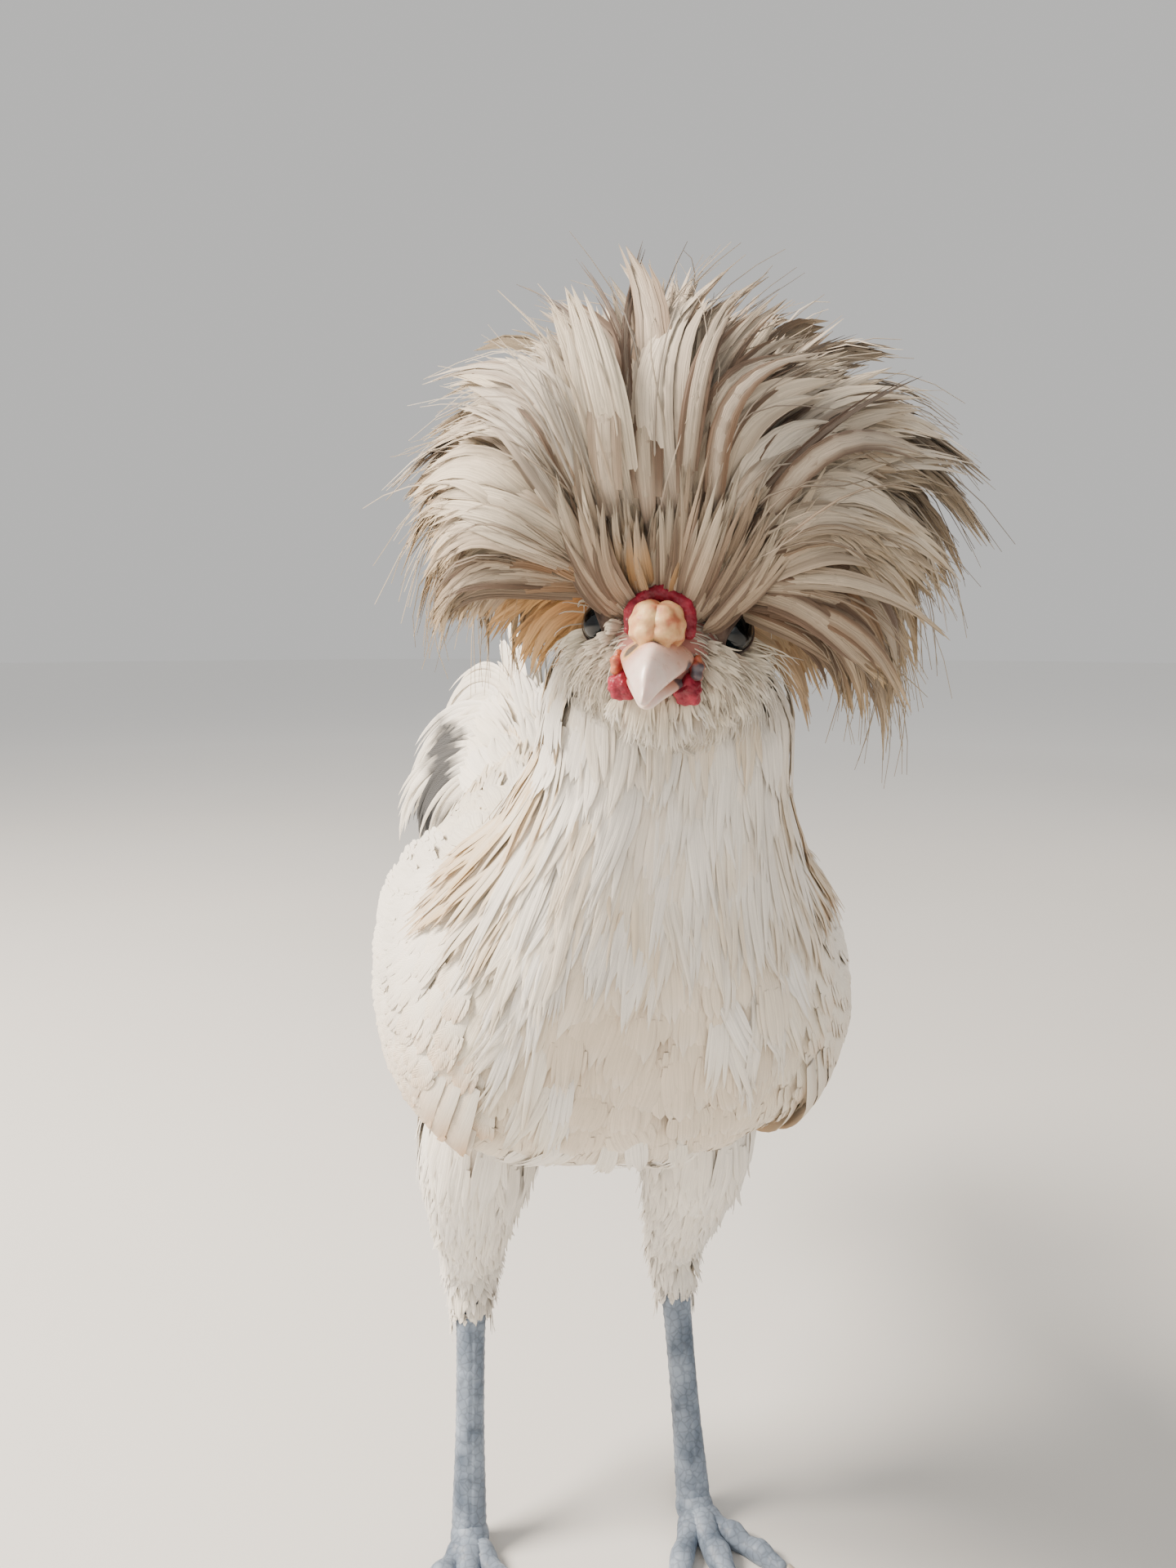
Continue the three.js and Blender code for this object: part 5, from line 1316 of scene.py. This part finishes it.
# Curved feathers and hairs that stand out beyond the cheeks, then bend down round the chin.
def muffLines(n, longer, rows, rng):
    bearing = np.radians(rng.uniform(*muffs["bearing"], n))
    layer = rng.uniform(0, 1, n)
    out = xyz(np.sin(bearing), 0, -np.cos(bearing))
    down = -xyz(np.abs(np.cos(bearing)) * np.sign(bearing), 0, np.abs(np.sin(bearing)))
    root = out * (7.5 + 6.5 * layer)[:, None] + xyz(0, -7 + 9.5 * layer, -2)
    length = rng.uniform(*muffs["length"], n) * mix(0.7, 1.1, layer) * longer
    length = (length * mix(1, 0.8, smooth(80, 110, np.abs(np.degrees(bearing)))))[:, None]
    t = np.linspace(0, 1, rows)
    line = root[:, None] + out[:, None] * (length * (t - 0.3 * t * t))[..., None]
    line = line + down[:, None] * (length * rng.normal(0.42, 0.14, n)[:, None] * t * t)[..., None]
    line[..., 1] += length * (0.12 * t + 0.24 * t * t) - 2.0 * np.sin(np.pi * t)
    line[..., 1] += rng.normal(0, 1.2, n)[:, None] * t
    normal = unit(out[:, None] * (0.2 + 0.8 * t)[:, None] - (0, 1, 0))
    uv = np.stack([0.5 + 0.4 * bearing / 2.1, 0.1 + 0.6 * layer], -1)
    free = pastEyes(line)
    return inHead(line[free]), normal[free] @ headTurn.T, uv[free], layer[free]


def muffPaint(layer, rng):
    shade = rng.uniform(0, 1, len(layer))

    def paint(t, u, k):
        return painted("whisker", ("cream", np.clip(0.15 + 0.4 * layer[k] + 0.6 * shade[k], 0, 1)),
                       ("taupe", 0.4 * smooth(0.3, 0.05, t) + 0.5 * (shade[k] < 0.14)),
                       ("white", 0.8 * smooth(0.4, 0.9, t) * layer[k]))
    return paint


# Small pointed feathers that hang from under the bill over the lower ends of the wattles.
def addBeard(coat, rng):
    n, rows = beard["count"], beard["rows"]
    x = rng.uniform(-beard["half"], beard["half"], n)
    root = xyz(x, -13.5 + 0.12 * x * x + rng.uniform(0, 6, n), -9.5 - 0.02 * x * x + rng.normal(0, 0.5, n))
    length = (rng.uniform(*beard["length"], n) * mix(1, 0.75, np.abs(x) / beard["half"]))[:, None]
    t = np.linspace(0, 1, rows)
    line = root[:, None] + xyz(x[:, None] * 0.35 * t + rng.normal(0, 1.0, n)[:, None] * t * t,
                               length * (0.55 * t * t - 0.32 * t), -length * (0.75 * t + 0.2 * t * t))
    normal = np.repeat(unit(xyz(0.06 * x, -1.0, 0.1))[:, None], rows, 1)
    layer = rng.uniform(0.6, 1, n)
    half = beard["width"] / 2 * rng.uniform(0.6, 1.2, n)
    addFeathers(coat, inHead(line), normal @ headTurn.T, half, ruffLook, muffPaint(layer, rng),
                np.stack([0.5 + x / 30, 0 * x + 0.04], -1), rng)


def makeMuffs(rng):
    coat = newCoat()
    line, normal, uv, layer = muffLines(muffs["count"], 1.0, 9, rng)
    addFeathers(coat, line, normal, muffs["width"] / 2 * rng.uniform(0.6, 1.2, len(line)), ruffLook,
                muffPaint(layer, rng), uv, rng)
    line, normal, uv, layer = muffLines(muffs["hairs"], 1.15, 6, rng)
    addHairs(coat, line, normal, rng.uniform(0.08, 0.2, len(line)), muffPaint(layer, rng), uv, 0.16)
    addBeard(coat, rng)
    addCoat("face_muffs", coat, coatFinish, "coat")


faceRng = np.random.default_rng(seed + 10)
makeWhiskers(faceRng)
makeMuffs(faceRng)
print("face feathers done")

skinForm = {"stations": (0.3, 11.7), "faceInset": 0.5, "thighInset": 2.2, "padInset": 1.5, "padReach": 0.95,
            "knob": (0.96, 0.96, 1.5), "voxel": 0.0015, "smoothings": 4}  # voxel in metres


# Down-covered skin under the coat, one closed surface from the tail's root to the crown and the hocks:
# pale and matt with a fine grain, fleshy round the face.
def makeSkin():
    def trunk(share, angle):
        station = mix(*skinForm["stations"], share)
        spots, _ = coatSpot(station, np.degrees(angle), -body["depth"])
        return closedEnds(share, spots, alongTable(body["stations"], station)[:, :3])

    def skull(share, angle):
        line = alongTable(face, share * (len(face) - 1))
        spots = faceSpot(share, angle, -skinForm["faceInset"])
        return inHead(closedEnds(share, spots, xyz(0, line[:, 0], line[:, 1])))

    def knob(share, angle):
        return crownSpot(np.degrees(angle), 180 * share) * skinForm["knob"] @ crownTurn.T + crown

    def limb(side):
        return limbSkin(mirrored(thigh, side), lambda share, angle: -skinForm["thighInset"])

    def pad(side):
        def place(share, angle):
            out = skinForm["padReach"] * np.sin(np.pi * share)
            station = wingForm["middle"] + wingForm["long"] * np.cos(angle) * out
            fold = wingForm["angle"] + wingForm["high"] * np.sin(angle) * out
            lift = wingForm["thick"] * np.cos(np.pi * share) - skinForm["padInset"]
            return coatSpot(station, atSide(fold, side), lift)[0]
        return place

    material, tree, shader, place, noise, tone = mottled(
        "downy skin", {"Roughness": 0.8, "Sheen Weight": 0.3}, 700, 3, [(0, "#cdbfae"), (1, "#eee4d6")])
    tone = tintNear(tree, place, tone, (0, -6, 0), (0.01, 0.024), 1, "#9c6358")
    finishWith(tree, shader, tone, noise, 0.4)
    shapes = [wrapGrid(64, 90, trunk), wrapGrid(48, 40, skull), wrapGrid(32, 20, knob)]
    shapes += [wrapGrid(32, 40, limb(side)) for _, side in sides]
    shapes += [wrapGrid(32, 16, pad(side)) for _, side in sides]
    skin = addShape("skin", joined(shapes), material, "coat", "torso", "saddle", "neck", "head", "thigh_left",
                    "thigh_right")
    remesh = skin.modifiers.new("one skin", "REMESH")
    remesh.mode, remesh.voxel_size = "VOXEL", skinForm["voxel"]
    bpy.context.view_layer.objects.active = skin
    skin.select_set(True)
    bpy.ops.object.modifier_apply(modifier=remesh.name)
    shape = bmesh.new()
    shape.from_mesh(skin.data)
    for _ in range(skinForm["smoothings"]):
        bmesh.ops.smooth_vert(shape, verts=shape.verts, factor=0.5, use_axis_x=True, use_axis_y=True,
                              use_axis_z=True)
    shape.to_mesh(skin.data)
    shape.free()
    skin.data.shade_smooth()
    bpy.ops.object.mode_set(mode="EDIT")
    bpy.ops.mesh.select_all(action="SELECT")
    bpy.ops.uv.smart_project(island_margin=0.003)
    bpy.ops.object.mode_set(mode="OBJECT")
    skin.data.uv_layers[0].name = "OFBake"
    skin.select_set(False)


makeSkin()
print("skin done")

iris = [(0.0, "#050607"), (0.4, "#070a0c"), (0.48, "#10181b"), (0.66, "#172124"), (0.78, "#0b0d0e")]
lids = {"open": (63, 43), "slant": -46, "cover": 106, "thick": 0.34}  # degrees round the ball, and mm


# Wet dark eyes: a black pupil in a nearly black iris, a little paler round its middle, under a clear gloss.
def makeEyes():
    material, tree, shader, place = newMaterial("wet eye", {
        "Roughness": 0.08, "IOR": 1.34, "Coat Weight": 0.35, "Coat Roughness": 0.03})
    ring = addNode(tree, "MapRange", {1: 0, 2: 0.006, 3: 0, 4: 1}, {0: pupilReach(tree, place)}).outputs[0]
    tone = addNode(tree, "ValToRGB", {"stops": iris}, {0: ring}).outputs[0]
    fleck = addNode(tree, "TexNoise", {"Scale": 2600, "Detail": 2}, {"Vector": place}).outputs[0]
    flecked = addNode(tree, "Mix", {"data_type": "RGBA", "blend_type": "MULTIPLY", 7: (0.5, 0.55, 0.6, 1)},
                      {0: fleck, 6: tone}).outputs[2]
    finishWith(tree, shader, flecked)
    for name, side in sides:
        ball = lump(40, 28, lambda co: inHead(co * eye["radius"] + eyeCentre(side)))
        addShape(f"eye_ball_{name}", ball, material, "eye", f"eye_{name}")


# Thin wrinkled lids: a shell over each ball with a slanting oval opening, dark at the rim, pale outside.
def makeLids():
    material, tree, shader, place, noise, tone = mottled(
        "thin wrinkled lid skin", {"Roughness": 0.6, "Specular IOR Level": 0.3}, 900, 3,
        [(0, "#2c2523"), (1, "#5d4a40")])
    far = pupilReach(tree, place)
    rim = addNode(tree, "MapRange", {1: 0.0038, 2: 0.0056, 3: 0, 4: 1}, {0: far}).outputs[0]
    pale = addNode(tree, "Mix", {"data_type": "RGBA", 7: rgba("#a98f80")}, {0: rim, 6: tone}).outputs[2]
    finishWith(tree, shader, pale, noise, 0.6, 0.0004)

    def shell(side):
        def bent(share, angle):
            wide, tall = lids["open"]
            edge = wide * tall / np.hypot(wide * np.sin(angle), tall * np.cos(angle))
            far = 1 - np.abs(1 - 2 * share)
            tilt = np.radians(mix(edge, lids["cover"], far**1.3))
            rise = np.maximum(0, np.sin(2 * np.pi * share)) ** 0.45 * (1 + 0.9 * np.exp(-((far / 0.16) ** 2)))
            reach = eye["radius"] + 0.05 + lids["thick"] * rise
            turn = angle + math.radians(lids["slant"])
            spot = xyz(side * np.cos(tilt) * reach, -np.sin(tilt) * reach * np.cos(turn),
                       np.sin(tilt) * reach * np.sin(turn))
            return inHead(spot @ turned(0, 0, -side * eye["forward"]).T + eyeCentre(side))
        return bent

    addShape("lids", joined([wrapGrid(56, 28, shell(side)) for _, side in sides]), material, "comb")


makeEyes()
makeLids()
print("eyes done")

# The bill's stations: y, z, half its width, height above and depth below, in the head's frame.
billUpper = [(-10, -2.6, 5.6, 3.4, 2.6), (-12.5, -2.7, 6.7, 3.8, 2.8), (-17, -3.0, 5.8, 4.2, 2.7),
             (-22, -3.6, 4.3, 4.1, 2.4), (-26.5, -4.9, 2.4, 3.2, 2.0), (-29.3, -6.9, 0.8, 1.5, 1.1)]
billLower = [(-10, -6.6, 4.4, 1.4, 1.8), (-12.5, -6.8, 5.4, 1.5, 1.9), (-17, -7.0, 4.5, 1.5, 1.8),
             (-22, -7.5, 2.8, 1.3, 1.5), (-25.4, -8.6, 1.2, 0.8, 0.9)]
spotTint = "#434a54"
billMarks = [  # the nostril's yellow rim and its dark opening, then dark spots: place, radius in mm, colour
    ((-4.0, -17.4, -0.4), 2.9, "#cfa468"), ((-4.1, -17.3, -0.6), 1.5, "#3c3f45"),
    ((0.5, -18.6, 1.0), 0.9, spotTint), ((7.9, -14.2, -4.6), 1.5, spotTint),
    ((5.7, -15.6, -3.8), 1.2, spotTint), ((4.6, -14.6, -6.8), 1.6, spotTint),
    ((-3.6, -24.0, -5.4), 0.6, spotTint),
]
nasal = {"spot": (1.4, -14.4, 3.2), "size": (3.6, 5.4, 4.6)}
nostril = {"spot": (4.0, -16.6, 0.4), "half": (2.0, 1.7, 1.0), "deep": 1.6}
comb = {"y": -11.4, "z": 3.3, "radius": 5.2, "thick": 1.7, "lean": 12, "open": 118}
wattle = {"spot": (6.0, -12.6, -8.2), "size": (2.604, 2.6, 3.0)}
gape = {"spot": (7.2, -12.4, -4.4), "size": (1.3, 2.2, 2.3)}


def billShape(table, ridge):
    def place(share, angle):
        blunt = np.clip((1 - share) / 0.05, 0, 1)
        spread = np.sin(np.pi * 0.5 * np.clip(share / 0.02, 0, 1)) * blunt**0.5
        line = alongTable(table, share * (len(table) - 1))
        rise = np.sin(angle)
        flat = np.cos(angle) * line[:, 2] * (1 - 0.28 * np.maximum(0, rise) ** 1.6 * ridge)
        tall = rise * np.where(rise > 0, line[:, 3] * (1 + 0.1 * ridge * np.abs(rise) ** 6), line[:, 4])
        return inHead(xyz(flat * spread, line[:, 0] - 1.3 * (1 - blunt) ** 2, line[:, 1] + tall * spread))
    return wrapGrid(48, 48, place)


def withMarks(tree, place, grain, colour):
    for spot, radius, tint in billMarks:
        colour = tintNear(tree, place, colour, spot, (radius * 0.0006, radius * 0.0010), 0.9, tint, grain)
    return colour


# Polished pinkish horn, glossier in places, redder at its root and beside the nostril.
def makeBill():
    material, tree, shader, place, grain, colour = mottled(
        "pale polished horn", {"IOR": 1.54, "Subsurface Weight": 0.15, "Subsurface Scale": 0.002,
                               "Coat Weight": 0.25, "Coat Roughness": 0.2},
        420, 4, [(0, "#dcb8a8"), (1, "#f3e4dc")])
    colour = tintNear(tree, place, colour, (0, -11, -3), (0.006, 0.014), 0.85, "#c98f72")
    colour = tintNear(tree, place, colour, (-5, -18, -1), (0.001, 0.006), 0.75, "#cf9384")
    rough = addNode(tree, "MapRange", {1: 0.3, 2: 0.7, 3: 0.24, 4: 0.42}, {0: grain}).outputs[0]
    tree.links.new(rough, shader.inputs["Roughness"])
    finishWith(tree, shader, withMarks(tree, place, grain, colour), grain, 0.15, 0.0004)
    addShape("upper_bill", billShape(billUpper, 1.0), material, "horn", "bill_upper")
    addShape("lower_bill", billShape(billLower, 0.2), material, "horn", "bill_lower")


# A lump of bare skin on one side of the head; folds gives its swelling from a ball's x, y and z.
def lobe(form, side, around, rows, folds):
    return lump(around, rows, lambda co: co * form["size"] * folds(*co.T)[:, None]
                + np.multiply(form["spot"], (side, 1, 1)))


def moveToHead(shape):
    for v, spot in zip(shape.verts, inHead([v.co for v in shape.verts])):
        v.co = spot
    return shape


# Yellowish peach skin, waxy and finely pitted, in two folded lobes above the nostrils.
def makeBulb():
    material, tree, shader, place, noise, tone = mottled(
        "peach waxy skin", {"Roughness": 0.5, "Subsurface Weight": 0.2, "Subsurface Scale": 0.002,
                            "Specular IOR Level": 0.45}, 330, 4, [(0.34, "#bb6f50"), (0.6, "#e3ba84")])
    cells = addNode(tree, "TexVoronoi", {"Scale": 900}, {"Vector": place}).outputs[0]
    height = addNode(tree, "Math", {"operation": "MULTIPLY_ADD", 1: 0.35}, {0: cells, 2: noise}).outputs[0]
    finishWith(tree, shader, tone, height)
    shapes = []
    for _, side in sides:
        shape = lobe(nasal, side, 48, 32, lambda x, y, z: 1 + 0.05 * np.sin(7 * y + 3 * side * x) * (1 - y**2)
                     + 0.035 * np.sin(11 * z + 4 * y))
        spots = np.array([v.co for v in shape.verts])
        hole = np.linalg.norm((spots - np.multiply(nostril["spot"], (side, 1, 1))) / nostril["half"], axis=1)
        for v, deep in zip(shape.verts, nostril["deep"] * smooth(1.2, 0.5, hole)):
            v.co.x -= side * deep
        shapes.append(moveToHead(shape))
    addShape("nasal_bulbs", joined(shapes), material, "bulb", "nasal_bulb")


# Fine-grained crimson flesh for the comb and wattles, and soft orange skin at the corners of the bill.
def makeFlesh():
    material, tree, shader, place, noise, tone = mottled(
        "grained crimson flesh", {"Roughness": 0.5, "Subsurface Weight": 0.12, "Subsurface Scale": 0.0015,
                                  "Specular IOR Level": 0.45}, 260, 3, [(0.3, "#66081c"), (0.7, "#a31f39")])
    grains = addNode(tree, "TexVoronoi", {"Scale": 1150}, {"Vector": place}).outputs[0]
    finishWith(tree, shader, tone, grains, 0.55, invert=True)

    def arch(share, angle):
        turn = np.radians(mix(-comb["open"], comb["open"], share))
        bead = comb["thick"] * np.clip(4.6 * np.sqrt(share * (1 - share)), 0, 1)  # thinner at both ends
        bead = bead * (0.9 + 0.1 * np.cos(6 * turn + 0.6))
        bead = bead * (1 + 0.04 * np.sin(23 * turn) + 0.06 * np.cos(3 * angle + 9 * turn))
        out, along = comb["radius"] + np.cos(angle) * bead, -np.sin(angle) * bead
        rise, lean = out * np.cos(turn), math.radians(comb["lean"])
        return inHead(xyz(out * np.sin(turn), comb["y"] + rise * math.sin(lean) - along * math.cos(lean),
                          comb["z"] + rise * math.cos(lean) + along * math.sin(lean)))

    addShape("comb_arch", wrapGrid(36, 110, arch), material, "comb", "comb")
    for name, side in sides:
        shape = lobe(wattle, side, 36, 28, lambda x, y, z: 1 + 0.1 * np.sin(5 * x + 2.5 * z)
                     + 0.05 * np.sin(11 * z - 5 * x))
        addShape(f"wattle_lobe_{name}", moveToHead(shape), material, "comb", f"wattle_{name}")

    material, tree, shader, place, noise, tone = mottled(
        "soft orange gape skin", {"Roughness": 0.45, "Subsurface Weight": 0.15, "Subsurface Scale": 0.0015},
        420, 4, [(0.35, "#8f2f2e"), (0.7, "#c0764c")])
    finishWith(tree, shader, withMarks(tree, place, noise, tone), noise, 0.5, 0.0004)
    folds = [moveToHead(lobe(gape, side, 32, 24, lambda x, y, z: 1 + 0.12 * np.sin(7 * z + 2 * y)
                             + 0.06 * np.sin(12 * y - 3 * z))) for _, side in sides]
    addShape("gape_folds", joined(folds), material, "comb")


makeBill()
makeBulb()
makeFlesh()
print("bill, comb and wattles done")

legs = {"hock": (34, 20, 80), "ankle": (37, 2, 8), "radii": (5.7, 4.6, 4.5, 5.4), "end": (4.6, 4.9),
        "scutes": 17, "turn": 7, "palm": (6.2, 7, 6), "floor": 0.05}
toes = [
    {"name": "inner", "turn": -34, "length": 33, "root": 4.1, "tip": 2.7, "joints": 2},
    {"name": "middle", "turn": 0, "length": 44, "root": 4.5, "tip": 2.8, "joints": 3},
    {"name": "outer", "turn": 33, "length": 35, "root": 4.1, "tip": 2.6, "joints": 3},
    {"name": "hind", "turn": 172, "length": 17, "root": 3.4, "tip": 2.5, "joints": 1},
]
toeScute = {"long": 2.9, "high": 0.34}
claws = {"length": 8, "radius": 1.9, "tip": 0.35, "rise": 1.4, "bend": 2.4, "seat": 0.9, "sunk": 1.4,
         "wide": 0.85}


# Broad overlapping scutes in two rows down the front and small round scales elsewhere.
def shankScales(share, angle):
    front = smooth(0.15, 0.6, -np.sin(angle))  # 1 at the front of the leg
    step = (share * legs["scutes"] + 0.5 * (np.cos(angle) > 0)) % 1
    scute = 0.5 * np.clip(step * 5, 0, 1) * (1 - 0.35 * step) * smooth(0.0, 0.1, np.abs(np.cos(angle)))
    small = 0.2 * (np.sin(share * legs["scutes"] * 2 * np.pi * 1.6) * np.sin(angle * 9) + 0.4)
    return mix(small, scute, front)


# A toe or claw along a spine of x, y, z and radius. It never passes the floor.
def digit(spine, across, thick, blunt, wide=1.0):
    def place(share, angle):
        line = alongTable(spine, share * (len(spine) - 1))
        close = np.clip((1 - share) / blunt, 0, 1) ** 0.5 * np.clip(share / 0.01, 0, 1)
        radius = thick(line[:, 3], share, angle) * close
        spot = line[:, :3] + across * (np.cos(angle) * radius * wide)[:, None]
        spot[:, 2] = np.maximum(legs["floor"], spot[:, 2] + np.sin(angle) * radius)
        return spot
    return place


def toeAndClaw(toe, side, heel):
    turn = math.radians(side * (toe["turn"] + legs["turn"]))
    way = np.array([math.sin(turn), -math.cos(turn), 0])
    across = np.array([math.cos(turn), math.sin(turn), 0])
    count = 2 * toe["joints"] + 1
    i = np.arange(count + 1)
    radius = mix(toe["root"], toe["tip"], i / count) + np.where(i % 2, 0.5, -0.25)  # a pad under each joint
    radius[-1] = toe["tip"] - 0.6
    bones = heel + np.outer(i / count, way) * toe["length"] + xyz(0, 0, radius - 0.8)
    spine = np.column_stack([bones, radius])

    def scaled(radius, share, angle):
        step = share * toe["length"] / toeScute["long"] % 1
        scute = toeScute["high"] * np.clip(step * 5, 0, 1) * (1 - 0.4 * step)
        return radius + scute * smooth(-0.1, 0.5, np.sin(angle))

    def flatter(radius, share, angle):  # below
        return radius * (1 - 0.12 * np.maximum(0, -np.sin(angle)))

    t = np.array([0, 0.35, 0.7, 1])
    reach = claws["seat"] + claws["length"] * t - claws["sunk"] * (t == 0)
    curve = bones[-1] + np.outer(reach, way) + xyz(0, 0, claws["rise"] - claws["bend"] * t * t)
    horn = np.column_stack([curve, mix(claws["radius"], claws["tip"], t)])
    return (wrapGrid(28, int(toe["length"] * 2.2), digit(spine, across, scaled, 0.06)),
            wrapGrid(20, 20, digit(horn, across, flatter, 0.04, claws["wide"])))


# Slate blue skin with a net of darker seams, and matt claws that drift from grey to pale horn.
def makeLegs():
    slate, tree, shader, place, _, tone = mottled(
        "slate horn scales", {"Roughness": 0.5, "Specular IOR Level": 0.4}, 120, 4,
        [(0.3, "#566374"), (0.7, "#93a0b1")])
    cells = addNode(tree, "TexVoronoi", {"Scale": 400, "feature": "DISTANCE_TO_EDGE"},
                    {"Vector": place}).outputs[0]
    seams = addNode(tree, "MapRange", {1: 0.0, 2: 0.14, 3: 0.7, 4: 1.0}, {0: cells}).outputs[0]
    colour = addNode(tree, "VectorMath", {"operation": "SCALE"}, {0: tone, "Scale": seams}).outputs[0]
    finishWith(tree, shader, colour, cells, 0.3, 0.0003)
    horn, tree, shader, _, _, tone = mottled("ridged claw horn", {"Roughness": 0.4, "IOR": 1.54}, 500, 3,
                                             [(0, "#7c746c"), (1, "#c3b7a6")])
    finishWith(tree, shader, tone)
    for name, side in sides:
        hock, ankle = (np.multiply(legs[key], (side, 1, 1)) for key in ("hock", "ankle"))
        table = [(*mix(hock, ankle, s), r, r) for s, r in zip((0, 0.2, 0.6, 1), legs["radii"])]
        table.append((*(ankle + (0, -0.6, -2.4)), *legs["end"]))
        addShape(f"shank_scales_{name}", wrapGrid(48, 150, limbSkin(table, shankScales)), slate, "slate",
                 f"shank_{name}")

        def palm(share, angle):
            wide, long, tall = legs["palm"]
            out = np.sin(np.pi * share)
            return xyz(ankle[0] + wide * out * np.cos(angle), ankle[1] - 2 + long * out * np.sin(angle),
                       np.maximum(legs["floor"], 5.2 - tall * np.cos(np.pi * share)))

        feet = [wrapGrid(32, 20, palm)]
        for toe in toes:
            flesh, claw = toeAndClaw(toe, side, np.array([ankle[0], ankle[1] - 3, 0]))
            feet.append(flesh)
            addShape(f"claw_horn_{toe['name']}_{name}", claw, horn, "claw", f"claw_{toe['name']}_{name}")
        addShape(f"foot_scales_{name}", joined(feet), slate, "slate", f"foot_{name}")


makeLegs()
print("legs done")
